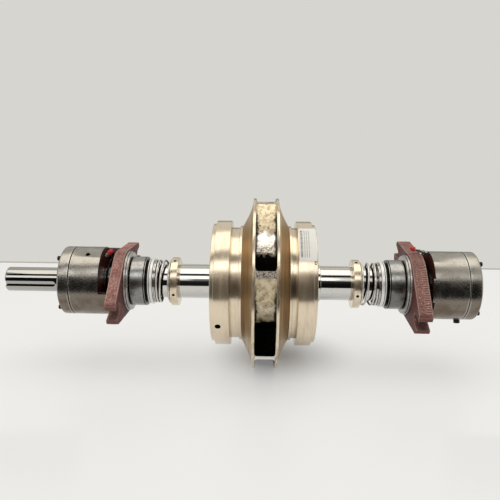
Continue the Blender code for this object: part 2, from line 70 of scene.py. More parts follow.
class Wire:
    def __init__(self, plan, socket):
        self.plan = plan
        self.socket = socket

    def calc(self, operation, *others):
        return self.plan.add("ShaderNodeMath", {"operation": operation},
                             dict(enumerate((self,) + others)))

    def __add__(self, other):
        return self.calc("ADD", other)

    def __mul__(self, other):
        return self.calc("MULTIPLY", other)

    def __sub__(self, other):
        return self.calc("SUBTRACT", other)

    def __rsub__(self, other):
        return self.plan.add("ShaderNodeMath", {"operation": "SUBTRACT"}, {0: other, 1: self})

    def __truediv__(self, other):
        return self.calc("DIVIDE", other)

    def __pow__(self, other):
        return self.calc("POWER", other)

    __radd__ = __add__
    __rmul__ = __mul__

    def between(self, low, high):
        # 0 below low, 1 above high, smooth in between
        return self.plan.add("ShaderNodeMapRange", {"interpolation_type": "SMOOTHSTEP"},
                             {"Value": self, "From Min": low, "From Max": high})

    def near(self, middle, reach):
        # 1 at middle, 0 from reach away
        return 1 - (self - middle).calc("ABSOLUTE").between(reach * 0.5, reach)


class Plan:
    def __init__(self, tree):
        self.tree = tree

    def add(self, kind, settings=None, values=None, output=0):
        node = self.tree.nodes.new(kind)
        for key, value in (settings or {}).items():
            setattr(node, key, value)
        for key, value in (values or {}).items():
            self.feed(node.inputs[key], value)
        return Wire(self, node.outputs[output])

    def feed(self, socket, value):
        if isinstance(value, Wire):
            self.tree.links.new(value.socket, socket)
        else:
            socket.default_value = value


class Finish(Plan):
    def __init__(self, name):
        self.material = bpy.data.materials.new(name)
        self.material.use_nodes = True
        super().__init__(self.material.node_tree)
        self.shader = self.tree.nodes["Principled BSDF"]
        self.place = self.add("ShaderNodeVectorMath", {"operation": "SUBTRACT"}, {
            0: self.add("ShaderNodeTexCoord", output="Object"),
            1: (row["impellerX"], 0, row["axisZ"])})
        self.x, self.y, self.z = (self.add("ShaderNodeSeparateXYZ", None, {0: self.place}, axis)
                                  for axis in range(3))
        self.radius = (self.y * self.y + self.z * self.z) ** 0.5
        self.station = self.x.calc("ABSOLUTE")
        self.clock = self.z.calc("ARCTAN2", self.y * -1)

    def clouds(self, size, detail=3, roughness=0.55, place=None):
        # noise whose lumps are about that size in metres
        return self.add("ShaderNodeTexNoise", None, {
            "Vector": place or self.place, "Scale": 1 / size, "Detail": detail,
            "Roughness": roughness})

    def lathed(self, size):
        # lines left by the tool: they go round the shaft, so they change with x and radius alone
        along = self.add("ShaderNodeCombineXYZ", None, {"X": self.x, "Y": self.radius})
        return self.clouds(size, 2, 0.6, along)

    def streaked(self, size, stretch):
        # marks drawn out round the shaft
        along = self.add("ShaderNodeCombineXYZ", None, {
            "X": self.x, "Y": self.radius, "Z": self.clock * (0.05 / stretch)})
        return self.clouds(size, 3, 0.6, along)

    def mark(self, name):
        # a value stored on the mesh by the code that made it
        return self.add("ShaderNodeAttribute", {"attribute_name": name}, None, "Fac")

    def mix(self, share, first, second):
        return self.add("ShaderNodeMix", {"data_type": "RGBA"}, {0: share, 6: first, 7: second}, 2)

    def dress(self, colour, metallic, roughness, bumps=()):
        self.feed(self.shader.inputs["Base Color"], colour)
        self.feed(self.shader.inputs["Metallic"], metallic)
        self.feed(self.shader.inputs["Roughness"], roughness)
        normal = None
        for height, distance, strength in bumps:
            values = {"Height": height, "Distance": distance, "Strength": strength}
            if normal:
                values["Normal"] = normal
            normal = self.add("ShaderNodeBump", None, values)
        if normal:
            self.feed(self.shader.inputs["Normal"], normal)
        return self.material


print("finishes")

metals = {"bronzeLight": (0.80, 0.69, 0.53, 1), "bronzeDeep": (0.60, 0.46, 0.33, 1),
          "castPale": (0.95, 0.84, 0.62, 1), "castGold": (0.66, 0.53, 0.34, 1),
          "castBrown": (0.68, 0.50, 0.29, 1), "castDark": (0.10, 0.075, 0.05, 1),
          "silver": (0.95, 0.94, 0.90, 1), "void": (0.012, 0.010, 0.008, 1),
          "tipGrey": (0.52, 0.47, 0.42, 1), "ironLight": (0.42, 0.395, 0.355, 1),
          "ironDark": (0.11, 0.105, 0.095, 1), "ironBrown": (0.20, 0.155, 0.115, 1),
          "ironWornAndLit": (0.62, 0.61, 0.59, 1), "ironLow": (0.155, 0.118, 0.09, 1), "steel": (0.66, 0.65, 0.62, 1),
          "steelDull": (0.42, 0.41, 0.39, 1), "steelPale": (0.88, 0.87, 0.85, 1)}


def makeRingBronze():
    # machined bronze: fine tool lines, faint tarnish, and painted shade that blacks and dulls the walls of its
    # drilled marks
    f = Finish("machined ring bronze")
    tarnish = f.streaked(0.006, 3).between(0.45, 0.75) * 0.45
    colour = f.mix(tarnish, metals["bronzeLight"], metals["bronzeDeep"])
    # painted shade: the walls of the drilled holes are painted black
    colour = f.mix(f.mark("hollowShade"), colour, metals["void"])
    return f.dress(colour, 0.92 - f.mark("hollowShade") * 0.5, f.clouds(0.02) * 0.10 + 0.14, [
        (f.lathed(0.0007), 0.00020, 1.0), (f.clouds(0.004), 0.0001, 0.25)])


def makeImpellerBronze():
    # one casting: sand-cast passages with painted shade that blackens them inwards, browned flares with painted
    # shade on their lower half and edges, machined rims and lips
    i = impeller
    f = Finish("impeller bronze")
    part = ((i["rim"] - f.radius) / (i["rim"] - i["lip"])).calc("MAXIMUM", 0.0)
    wall = (i["rimHalf"] + i["outletHalf"]) / 2
    middle = wall + (i["lipInner"] - 0.0035 - wall) * part ** i["flare"]
    inside = 1 - (f.station - middle).between(-0.0003, 0.0003)
    inside = inside.calc("MAXIMUM", 1 - f.radius.between(0.0812, 0.0818))
    rim = f.radius.between(0.1420, 0.1426)
    turnedRing = f.station.between(0.0376, 0.0386) * (1 - inside)
    smooth = turnedRing.calc("MAXIMUM", rim)
    # the flares: brown streaks, with painted shade where they meet the rim and the ring and on their lower half
    edges = f.radius.between(0.1385, 0.1415).calc("MAXIMUM", 1 - f.radius.between(0.0965, 0.0995))
    lower = 1 - f.z.between(-0.05, 0.02)
    brown = f.mix(f.streaked(0.009, 5).between(0.25, 0.8) * 0.6 + edges * 0.4 + lower * 0.2, metals["castBrown"],
                  metals["ironBrown"])
    machined = f.mix(f.streaked(0.005, 3).between(0.4, 0.8) * 0.6, metals["bronzeLight"],
                     metals["bronzeDeep"])
    pits = f.clouds(0.0035, 4, 0.65)
    cast = f.mix(pits.between(0.45, 0.65), metals["castBrown"], metals["castDark"])
    # painted shade: the cast skin goes black deep in the passages
    deep = (1 - f.radius.between(0.118, 0.141)) * (1 - f.station.between(0.030, 0.062))
    cast = f.mix(deep.calc("MAXIMUM", f.radius.near(0.100, 0.038)), cast, metals["void"])
    colour = f.mix(inside, brown, cast)
    machined = f.mix(rim * f.streaked(0.004, 2).between(0.42, 0.66) * 0.55, machined, metals["castDark"])
    colour = f.mix(smooth, colour, machined)
    rough = inside * (1 - rim)
    return f.dress(colour, 1 - rim * 0.12, 0.40 - smooth * 0.20 + rough * 0.16, [
        (pits * rough, 0.0011, 0.8), (f.lathed(0.0009) * (1 - rough), 0.0001, 0.6)])


def makeVaneBronze():
    # pale rough skin with a painted silver glint, then painted shade that turns it black as the passage deepens and
    # beside the shrouds; a machined tip, with a painted highlight on the lowest ones
    f = Finish("vane bronze")
    pits = f.clouds(0.0040, 4, 0.65)
    fine = f.clouds(0.0024, 3, 0.65)
    lumps = f.clouds(0.009, 3, 0.6)
    tip = f.radius.between(0.1421, 0.1427)
    # glint: a painted highlight, a silver band on the upper vanes only
    glint = (f.radius + (lumps - 0.5) * 0.010).near(0.1125, 0.0100) * (1 - tip) * f.z.between(-0.024, -0.004)
    pale = f.mix(lumps.between(0.42, 0.66), metals["castPale"], metals["castGold"])
    pale = f.mix(pits.between(0.57, 0.68) * 0.85, pale, metals["castDark"])
    pale = f.mix(glint * 0.65, pale, metals["silver"])
    # painted shade: black deep in the passage, beside the shrouds and on the lowest vanes
    shade = (0.1085 - f.radius + (lumps - 0.5) * 0.012).between(0.0, 0.0045)
    side = (f.station + (lumps - 0.5) * 0.008).between(0.0120, 0.0150) * (1 - f.radius.between(0.130, 0.140))
    under = 1 - f.z.between(-0.101, -0.092)
    colour = f.mix(shade.calc("MAXIMUM", side * 0.9).calc("MAXIMUM", under), pale, metals["void"])
    grey = f.mix(fine.between(0.48, 0.58), metals["tipGrey"], metals["castDark"])
    # a painted highlight on the tips of the lowest vanes
    rubbedAndLit = tip * (1 - f.z.between(-0.10, -0.08))
    grey = f.mix(rubbedAndLit, grey, (0.95, 0.94, 0.90, 1))
    colour = f.mix(tip, colour, grey)
    calm = 1 - glint * 0.75
    return f.dress(colour, 1.0 - tip * 0.45 - rubbedAndLit * 0.5, 0.50 - glint * 0.30, [
        (pits * calm, 0.0020, 0.9), (fine * calm, 0.0005, 0.5)])


def makeTurnedIron():
    # housings: satin turned iron, stained, darker towards the bottom as painted shade, with pale seam bands and
    # bevelled edges that are worn and partly a painted highlight, and the red-painted pocket behind the flange
    f = Finish("turned housing iron")
    stain = f.clouds(0.022, 4, 0.65).between(0.40, 0.68)
    specks = f.clouds(0.0024, 3, 0.7).between(0.56, 0.70)
    # painted shade: darker towards the bottom, ragged by the stains
    low = 1 - (f.z + (stain - 0.5) * 0.008).between(-0.022, 0.006)
    bare = f.mix(stain * 0.30, metals["ironLight"], metals["ironBrown"])
    bare = f.mix(low * (0.75 + stain * 0.25), bare, metals["ironLow"])
    bare = f.mix(specks * 0.5, bare, metals["ironDark"])
    # the bands beside the seams and the bevelled edges are paler: worn, and partly a painted highlight
    rubbedAndLit = f.x.near(-0.32165, 0.0036).calc("MAXIMUM", f.x.near(0.32985, 0.0036)) * 0.35
    bare = f.mix(rubbedAndLit, bare, metals["ironWornAndLit"])
    bare = f.mix(f.mark("wear"), bare, metals["steelPale"])
    # the seams are dark joints; the oil hole's walls are painted black as painted shade
    seams = f.x.near(-0.32165, 0.0009).calc("MAXIMUM", f.x.near(0.32985, 0.0009))
    bare = f.mix(seams.calc("MAXIMUM", f.mark("hollowShade")), bare, metals["void"])
    inside = (1 - f.radius.between(0.0560, 0.0568)) * (1 - f.station.between(0.2760, 0.2770))
    redPaint = f.mix(f.clouds(0.006, 4).between(0.3, 0.8), linear(84, 40, 34), linear(40, 18, 15))
    colour = f.mix(inside * (1 - f.mark("wear")), bare, redPaint)
    roughness = 0.21 + stain * 0.08 + inside * 0.20 + specks * 0.08
    return f.dress(colour, 1 - inside, roughness, [
        (f.lathed(0.0011), 0.00006, 0.5), (f.clouds(0.0030, 4, 0.7), 0.00040, 0.5)])


def makeGreyIron():
    # seal housings and pilot rings: plain grey turned iron, darker towards the bottom and with its grooves painted
    # black, both painted shade
    f = Finish("grey seal iron")
    stain = f.clouds(0.009, 4, 0.65).between(0.42, 0.70)
    specks = f.clouds(0.0030, 3, 0.7).between(0.50, 0.66)
    # painted shade: darker towards the bottom, more deeply at the outboard end
    low = 1 - (f.z + (stain - 0.5) * 0.006).between(-0.014, 0.004)
    pilot = f.radius.between(0.0430, 0.0440)
    bare = f.mix(pilot, (0.40, 0.395, 0.385, 1), (0.45, 0.43, 0.415, 1))
    colour = f.mix(stain * 0.35, bare, metals["ironDark"])
    lowShadeDepth = f.x.between(0.0, 0.1) * 0.30 + 0.35
    colour = f.mix(low * (lowShadeDepth + specks * 0.3) * (1 - pilot * 0.5), colour, (0.13, 0.12, 0.11, 1))
    # painted shade: the grooves and the undercut beside the pilot ring are painted black
    front = f.x.calc("SIGN") * 0.0026 + 0.2286
    sunk = (1 - f.radius.between(0.0482, 0.0490)) * (f.station - front).between(0.0010, 0.0014)
    groove = f.mix(pilot, 1 - f.radius.between(0.0402, 0.0413), sunk * 0.85)
    colour = f.mix(groove, colour, metals["void"])
    return f.dress(colour, 1.0 - pilot * 0.25, 0.25 + stain * 0.10, [
        (f.lathed(0.0010), 0.00003, 0.3), (f.clouds(0.0030, 3, 0.6) * (1 - pilot), 0.00010, 0.4)])


def makeFlangeRed():
    # red oxide primer over a sand casting: rubbed pale on its corners, with painted shade on its faces turned
    # inboard, on its ear ends, in its slots and at the pilot ring's joint
    f = Finish("red oxide casting")
    grain = f.clouds(0.0026, 4, 0.72)
    patches = f.clouds(0.02, 3).between(0.35, 0.7)
    colour = f.mix(patches, linear(178, 128, 117), linear(146, 93, 84))
    colour = f.mix(f.x.between(-0.05, 0.05) * 0.5, colour, linear(104, 60, 52))
    colour = f.mix(grain.between(0.50, 0.60) * 0.8, colour, linear(70, 32, 30))
    colour = f.mix(f.clouds(0.0030, 3).between(0.60, 0.68) * 0.7, colour, linear(222, 186, 174))
    wear = (f.mark("wear") + (grain - 0.5) * 1.0).between(0.35, 0.85) * 0.75
    colour = f.mix(wear, colour, linear(206, 168, 158))
    # painted shade on the faces turned inboard and on the ear ends
    colour = f.mix(f.mark("oil") * 0.9, colour, linear(90, 36, 34))
    # painted shade in the slots and at the pilot ring's joint
    colour = f.mix(f.mark("hollowShade") * (0.6 + grain * 0.4), colour, linear(22, 12, 11))
    return f.dress(colour, 0.0, 0.55 + patches * 0.1, [(grain, 0.0014, 0.9)])


def makeGroundSteel():
    # sleeves and shaft: ground, close to a mirror, with faint rings and light scratches
    f = Finish("ground shaft steel")
    marks = f.streaked(0.003, 2).between(0.55, 0.8)
    stub = f.station.between(0.330, 0.345) * (1 - f.x.between(-0.1, 0.1))
    colour = f.mix(marks * 0.5, metals["steel"], metals["steelDull"])
    colour = f.mix(stub, colour, (0.44, 0.43, 0.41, 1))
    return f.dress(colour, 1.0, marks * 0.10 + 0.06, [(f.lathed(0.0012), 0.00003, 0.35)])


def makeBrightSteel():
    # seal retainers, springs and discs: bright stainless, lightly scuffed, with painted shade between its rings
    f = Finish("bright seal steel")
    scuffs = f.clouds(0.003, 3).between(0.5, 0.8)
    colour = f.mix(scuffs * 0.15, metals["steelPale"], metals["steelDull"])
    # painted shade: the discs' drums between their rings, the retainers' grooves and the seat rings are painted
    # black
    discs = f.x.near(-0.18555, 0.0025).between(0.0, 0.1).calc("MAXIMUM", f.x.near(0.18950, 0.0025).between(0.0, 0.1))
    grooveShade = discs * (1 - f.radius.between(0.0356, 0.0368))
    retainers = f.station.between(0.1925, 0.1928) * (1 - f.radius.between(0.0376, 0.0384))
    seats = f.station.between(0.1972, 0.1974) * (1 - f.radius.between(0.0366, 0.0368))
    grooveShade = grooveShade.calc("MAXIMUM", seats)
    grooveShade = grooveShade.calc("MAXIMUM", retainers * f.radius.between(0.0371, 0.0375)).calc("MAXIMUM", f.mark("hollowShade"))
    colour = f.mix(grooveShade, colour, metals["void"])
    satin = f.radius.between(0.0374, 0.0378)
    return f.dress(colour, 1.0 - satin * 0.7, scuffs * 0.04 + 0.14 + satin * 0.16, [
        (f.lathed(0.0015), 0.00002, 0.3)])


def makeSpringWire():
    # drawn wire: a painted highlight along its outer crown and painted shade on its inner side, with a few grease
    # smears
    f = Finish("drawn spring wire")
    litCrown = (f.radius - seal["spring"]).between(seal["wire"] * 0.15, seal["wire"] * 0.75)
    smears = f.clouds(0.004, 3).between(0.45, 0.7) * 0.3
    colour = f.mix(litCrown * (1 - smears), (0.02, 0.018, 0.016, 1), (0.80, 0.77, 0.73, 1))
    return f.dress(colour, 1.0 - litCrown * 0.5, 0.30 - litCrown * 0.08, [(f.clouds(0.002), 0.00004, 0.3)])


def makeDirtyZinc():
    # grease fittings: plated steel with black grease in its corners
    f = Finish("greasy plated steel")
    grease = f.clouds(0.0034, 3, 0.6).between(0.42, 0.56)
    colour = f.mix(grease, (0.62, 0.61, 0.58, 1), metals["void"])
    return f.dress(colour, 1.0 - grease * 0.4, 0.20 + grease * 0.2, [(f.clouds(0.001), 0.0001, 0.4)])


def makeBlackOxide():
    f = Finish("black oxide screws")
    worn = f.clouds(0.0015, 3).between(0.6, 0.8)
    colour = f.mix(worn, (0.020, 0.020, 0.022, 1), (0.10, 0.10, 0.10, 1))
    return f.dress(colour, 0.6, 0.42 - worn * 0.1, [(f.clouds(0.0008), 0.0001, 0.4)])


def makeSealRubber():
    f = Finish("black seal rubber")
    dust = f.clouds(0.002, 3).between(0.55, 0.8)
    colour = f.mix(dust, (0.014, 0.014, 0.014, 1), (0.05, 0.048, 0.044, 1))
    return f.dress(colour, 0.0, 0.5 + dust * 0.2, [(f.clouds(0.0006), 0.0001, 0.4)])


def makeCapRed():
    f = Finish("red cap plastic")
    faded = f.clouds(0.003, 3).between(0.4, 0.8)
    colour = f.mix(faded, linear(190, 22, 30), linear(214, 70, 76))
    return f.dress(colour, 0.0, 0.34 + faded * 0.12, [(f.clouds(0.0007), 0.00008, 0.4)])


def makeLabelPaper():
    # a plain paper label with ruled bars and nothing written on it
    f = Finish("plain label paper")
    across = f.x - (ends["outboard"]["wear"] + label["low"])
    length = f.clock * ring["radius"]
    inside = length.between(0.066, 0.0665) * (1 - length.between(0.1225, 0.1235))
    breaks = f.add("ShaderNodeTexNoise", {"noise_dimensions": "1D"}, {"W": length, "Scale": 900.0,
                                                                      "Detail": 1.0})
    broad = across.near(0.0042, 0.0019).between(0.0, 0.4) * breaks.between(0.46, 0.50)
    lines = across.near(0.0088, 0.0009).calc("MAXIMUM", across.near(0.0122, 0.0009))
    lines = lines.calc("MAXIMUM", across.near(0.0156, 0.0009)).between(0.0, 0.4) * breaks.between(0.40, 0.46)
    ink = (broad * 0.9).calc("MAXIMUM", lines * 0.5) * inside
    fibres = f.clouds(0.0012, 3)
    paper = f.mix(fibres, linear(244, 244, 242), linear(234, 234, 232))
    colour = f.mix(ink, paper, linear(60, 60, 66))
    return f.dress(colour, 0.0, 0.50 + fibres * 0.1, [(fibres, 0.00005, 0.4)])


makers = {"ring": makeRingBronze, "impeller": makeImpellerBronze, "vane": makeVaneBronze,
          "housing": makeTurnedIron, "grey": makeGreyIron, "flange": makeFlangeRed,
          "ground": makeGroundSteel, "bright": makeBrightSteel, "black": makeBlackOxide,
          "rubber": makeSealRubber, "cap": makeCapRed, "label": makeLabelPaper,
          "spring": makeSpringWire, "zinc": makeDirtyZinc}
finishes = {}


def finishOf(look):
    # each finish is made once, when the first piece asks for it
    if look not in finishes:
        finishes[look] = makers[look]()
    return finishes[look]



# Shapes turned about the shaft

def along(end, *outline):
    # a section in distances from the impeller's middle, carried to that end of the shaft
    return [(row["impellerX"] + end["side"] * point[0],) + tuple(point[1:]) for point in outline]


def eased(outline, size):
    # round each real corner; a third number at a point is its own size
    result = []
    for index, point in enumerate(outline):
        here = Vector(point[:2])
        back = Vector(outline[index - 1][:2]) - here
        forth = Vector(outline[(index + 1) % len(outline)][:2]) - here
        own = point[2] if len(point) > 2 else size
        if here.y < 1e-6 or own <= 0 or back.angle(-forth, 0) < math.radians(25):
            result.append(tuple(here))
            continue
        cut = min(own, 0.4 * back.length, 0.4 * forth.length)
        start, stop = here + back.normalized() * cut, here + forth.normalized() * cut
        for step in range(5):
            t = step / 4
            result.append(tuple(start * (1 - t) ** 2 + here * 2 * t * (1 - t) + stop * t ** 2))
    return result


def turnedMesh(name, outline, facets=160, axis=None):
    # axis is the matrix that takes +X through the origin to the turned piece's own axis
    axis = axis or Matrix.Translation((0, 0, row["axisZ"]))
    points, rings, faces = [], [], []
    for x, radius in outline:
        start = len(points)
        count = 1 if radius < 1e-6 else facets
        for step in range(count):
            clock = 2 * math.pi * (step + 0.5) / facets
            points.append(axis @ Vector((x, -radius * math.cos(clock), radius * math.sin(clock))))
        rings.append([start + step for step in range(count)])
    pairs = list(zip(rings, rings[1:]))
    if len(rings[0]) > 1 and len(rings[-1]) > 1:
        pairs.append((rings[-1], rings[0]))
    for first, second in pairs:
        for step in range(facets if len(first) + len(second) > 2 else 0):
            after = (step + 1) % facets
            corners = [first[step % len(first)], second[step % len(second)],
                       second[after % len(second)], first[after % len(first)]]
            faces.append(list(dict.fromkeys(corners)))
    mesh = bpy.data.meshes.new(name)
    mesh.from_pydata(points, [], faces)
    return facingOut(mesh)


def facingOut(mesh):
    maker = bmesh.new()
    maker.from_mesh(mesh)
    bmesh.ops.remove_doubles(maker, verts=maker.verts, dist=0.000005)
    bmesh.ops.recalc_face_normals(maker, faces=maker.faces)
    maker.to_mesh(mesh)
    maker.free()
    return mesh


def loose(name, mesh):
    item = bpy.data.objects.new(name, mesh)
    bpy.context.collection.objects.link(item)
    return item


def settled(item):
    # apply what is on the item and leave a plain mesh
    graph = bpy.context.evaluated_depsgraph_get()
    mesh = bpy.data.meshes.new_from_object(item.evaluated_get(graph))
    item.modifiers.clear()
    item.data = mesh
    return item


def cut(item, cutters):
    for cutter in cutters:
        change = item.modifiers.new(cutter.name, "BOOLEAN")
        change.operation, change.solver, change.object = "DIFFERENCE", "EXACT", cutter
    settled(item)
    for cutter in cutters:
        bpy.data.objects.remove(cutter, do_unlink=True)
    return item


def holeShaded(item, *holes):
    # mark the walls of drilled holes for painted shade: each hole is its start, direction and radius
    mesh = item.data
    centres = np.array([face.center for face in mesh.polygons])
    facing = np.array([face.normal for face in mesh.polygons])
    shadedWalls = np.zeros(len(centres))
    for start, direction, radius in holes:
        away = centres - np.array(start)
        along = away @ np.array(direction)
        across = np.linalg.norm(away - np.outer(along, direction), axis=1)
        within = (across < radius * 1.001) & (along > -0.0001) & (along < 0.02)
        walls = np.abs(facing @ np.array(direction)) < 0.5
        shadedWalls[within & (walls | (along < 0.0003))] = 1
    mesh.attributes.new("hollowShade", "FLOAT", "FACE").data.foreach_set("value", shadedWalls)


def bevelled(item, width, segments=2, angle=40):
    # break the sharp edges, and mark the new faces as worn bright, partly a painted highlight where the edges catch
    # the light
    for slot in range(2 - len(item.data.materials)):
        item.data.materials.append(None)
    change = item.modifiers.new("worn edges", "BEVEL")
    change.width, change.segments, change.limit_method = width, segments, "ANGLE"
    change.angle_limit, change.material = math.radians(angle), 1
    settled(item)
    worn = [float(face.material_index == 1) for face in item.data.polygons]
    item.data.attributes.new("wear", "FLOAT", "FACE").data.foreach_set("value", worn)
    item.data.polygons.foreach_set("material_index", [0] * len(worn))
    return item


def placed(item, body, look, stands=(), sharp=32):
    # give the piece its finish and let it ride on its body
    mesh = item.data
    mesh.materials.clear()
    mesh.materials.append(finishOf(look))
    mesh.shade_smooth()
    mesh.set_sharp_from_angle(angle=math.radians(sharp))
    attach(item, body)
    if stands:
        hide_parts(*stands)
    return item


def turned(name, outline, body, look, stands=(), ease=0.0006, facets=160):
    mesh = turnedMesh(name, eased(outline, ease), facets)
    return placed(loose(name, mesh), body, look, stands)


def around(x, radius, clock):
    angle = math.radians(clock)
    return Vector((x, -radius * math.cos(angle), row["axisZ"] + radius * math.sin(angle)))


def outward(clock):
    angle = math.radians(clock)
    return Vector((0, -math.cos(angle), math.sin(angle)))


def rodMesh(name, start, direction, outline, facets=32):
    # a small turned piece on its own axis, with a section of (distance, radius)
    axis = Matrix.Translation(start) @ direction.to_track_quat("X", "Z").to_matrix().to_4x4()
    return turnedMesh(name, outline, facets, axis)


# Copies and coils by Geometry Nodes

def newRule(name, sockets):
    tree = bpy.data.node_groups.new(name, "GeometryNodeTree")
    tree.interface.new_socket("Geometry", in_out="OUTPUT", socket_type="NodeSocketGeometry")
    for label, kind in sockets.items():
        tree.interface.new_socket(label, in_out="INPUT", socket_type="NodeSocket" + kind)
    rule = Plan(tree)
    given = tree.nodes.new("NodeGroupInput")
    return rule, {label: Wire(rule, given.outputs[label]) for label in sockets}


def ended(rule, shape, finish):
    # every rule ends in real faces that carry their finish
    real = rule.add("GeometryNodeRealizeInstances", None, {0: shape})
    dressed = rule.add("GeometryNodeSetMaterial", None, {"Geometry": real, "Material": finish})
    rule.feed(rule.tree.nodes.new("NodeGroupOutput").inputs[0], dressed)
    return rule.tree


def copiesRule():
    # repeats the shape: each copy is shifted from the last, and turned round the pivot
    rule, given = newRule("copies round the shaft", {
        "Geometry": "Geometry", "Count": "Int", "Turn": "Float", "Shift": "Vector",
        "Pivot": "Vector", "Finish": "Material"})
    single = rule.add("GeometryNodeGeometryToInstance", None, {0: given["Geometry"]})
    copies = rule.add("GeometryNodeDuplicateElements", {"domain": "INSTANCE"}, {
        "Geometry": single, "Amount": given["Count"]})
    index = Wire(rule, copies.socket.node.outputs["Duplicate Index"])
    turn = rule.add("ShaderNodeCombineXYZ", None, {"X": index * given["Turn"]})
    step = rule.add("ShaderNodeVectorMath", {"operation": "SCALE"}, {0: given["Shift"], "Scale": index})
    moved = rule.add("GeometryNodeTranslateInstances", None, {
        "Instances": copies, "Translation": step, "Local Space": False})
    spun = rule.add("GeometryNodeRotateInstances", None, {
        "Instances": moved, "Rotation": turn, "Pivot Point": given["Pivot"], "Local Space": False})
    return ended(rule, spun, given["Finish"])


def coilRule():
    # a round wire wound about the shaft: a flat start, an open turn, then ever closer ones
    rule, given = newRule("spring coil", {
        "Geometry": "Geometry", "Turns": "Float", "Radius": "Float", "First": "Float",
        "Flat": "Float", "Closing": "Float",
        "Start": "Float", "Length": "Float", "Height": "Float", "Wire": "Float", "Finish": "Material"})
    line = rule.add("GeometryNodeCurvePrimitiveLine")
    path = rule.add("GeometryNodeResampleCurve", None, {"Curve": line, "Count": 190})
    factor = rule.add("GeometryNodeSplineParameter")
    clock = given["First"] - factor * given["Turns"] * (2 * math.pi)
    left = (1.0 - (factor - given["Flat"]).calc("MAXIMUM", 0.0) / (1 - given["Flat"]))
    travel = 1 - left ** given["Closing"]
    place = rule.add("ShaderNodeCombineXYZ", None, {
        "X": travel * given["Length"] + given["Start"],
        "Y": clock.calc("COSINE") * given["Radius"] * -1,
        "Z": clock.calc("SINE") * given["Radius"] + given["Height"]})
    laid = rule.add("GeometryNodeSetPosition", None, {"Geometry": path, "Position": place})
    section = rule.add("GeometryNodeCurvePrimitiveCircle", None, {
        "Resolution": 16, "Radius": given["Wire"]})
    wire = rule.add("GeometryNodeCurveToMesh", None, {
        "Curve": laid, "Profile Curve": section, "Fill Caps": True})
    return ended(rule, wire, given["Finish"])


rules = {"copies": copiesRule(), "coil": coilRule()}


def grown(item, tree, values):
    # run a tree on the item and keep the mesh that it makes
    change = item.modifiers.new(tree.name, "NODES")
    change.node_group = tree
    for socket in tree.interface.items_tree:
        if socket.in_out == "INPUT" and socket.name in values:
            change[socket.identifier] = values[socket.name]
    settled(item)
    facingOut(item.data)
    return item


def copied(item, count, look, turn=0.0, shift=(0, 0, 0), pivot=None):
    return grown(item, rules["copies"], {
        "Count": count, "Turn": math.radians(turn), "Shift": shift,
        "Pivot": pivot or (0, 0, row["axisZ"]), "Finish": finishOf(look)})


# Impeller

impeller = {"rim": 0.14319, "rimHalf": 0.0208, "outletHalf": 0.0163, "lip": 0.0965, "lipInner": 0.0383,
            "lipOuter": 0.0423, "eyeRing": 0.0935, "eye": 0.0810, "hubHalf": 0.0750, "nose": 0.0370,
            "ridge": 0.0660, "bore": 0.0252, "vanes": 6, "thick": 0.0042, "angle": 25, "tip": 18.7,
            "flare": 1.6, "bend": 0.011, "bendStart": 0.030, "bendLength": 0.016, "fillet": 0.0035}


def shroudOutside(radius):
    i = impeller
    part = (i["rim"] - radius) / (i["rim"] - i["lip"])
    return i["rimHalf"] + (i["lipInner"] - i["rimHalf"]) * max(part, 0) ** i["flare"]


def shroudInside(radius):
    i = impeller
    turn = i["eye"] + i["bend"]
    if radius >= turn:
        part = max((i["rim"] - radius) / (i["rim"] - turn), 0)
        return i["outletHalf"] + (i["bendStart"] - i["outletHalf"]) * part ** i["flare"]
    down = min((turn - radius) / i["bend"], 1)
    return i["bendStart"] + i["bendLength"] * (1 - math.sqrt(1 - down ** 2))


def makeShroud(name, end):
    i = impeller
    land = 0.0012                                            # machined flat beside each rim
    outside = [(i["rimHalf"], i["rim"], 0.0005)]
    for step in range(1, 25):
        radius = i["rim"] - land + (i["lip"] + 0.0004 - i["rim"] + land) * step / 24
        outside.append((shroudOutside(radius + land * (1 - step / 24)), radius, 0))
    ring = [(i["lipInner"] + 0.0004, i["lip"], 0.0004), (i["lipOuter"], i["lip"], 0.0006),
            (i["lipOuter"], i["eyeRing"], 0.0004), (i["hubHalf"], i["eyeRing"], 0.0012),
            (i["hubHalf"], i["eye"], 0.0015)]
    inside = []
    for step in range(0, 13):
        down = math.cos(math.pi / 2 * step / 12)
        radius = i["eye"] + i["bend"] * (1 - down)
        inside.append((shroudInside(radius), radius, 0))
    for step in range(1, 20):
        radius = i["eye"] + i["bend"] + (i["rim"] - i["eye"] - i["bend"]) * step / 20
        inside.append((shroudInside(radius), radius, 0))
    inside.append((i["outletHalf"], i["rim"], 0.0007))
    mesh = turnedMesh(name, eased(along(end, *(outside + ring + inside)), 0), 224)
    return placed(loose(name, mesh), "rotor", "impeller", ["impeller_" + name.split("_")[0] + "_shroud"])


def hubRadius(x):
    i = impeller
    foot = i["hubHalf"] - 0.010
    return i["nose"] + (i["ridge"] - i["nose"]) * max(1 - abs(x) / foot, 0) ** 2


def vaneHalf(radius):
    i = impeller
    if radius > i["eye"]:
        return min(shroudInside(radius) + 0.0012, 0.0435)
    share = (radius - i["nose"]) / (i["eye"] - i["nose"])
    return 0.034 + (0.0435 - 0.034) * share


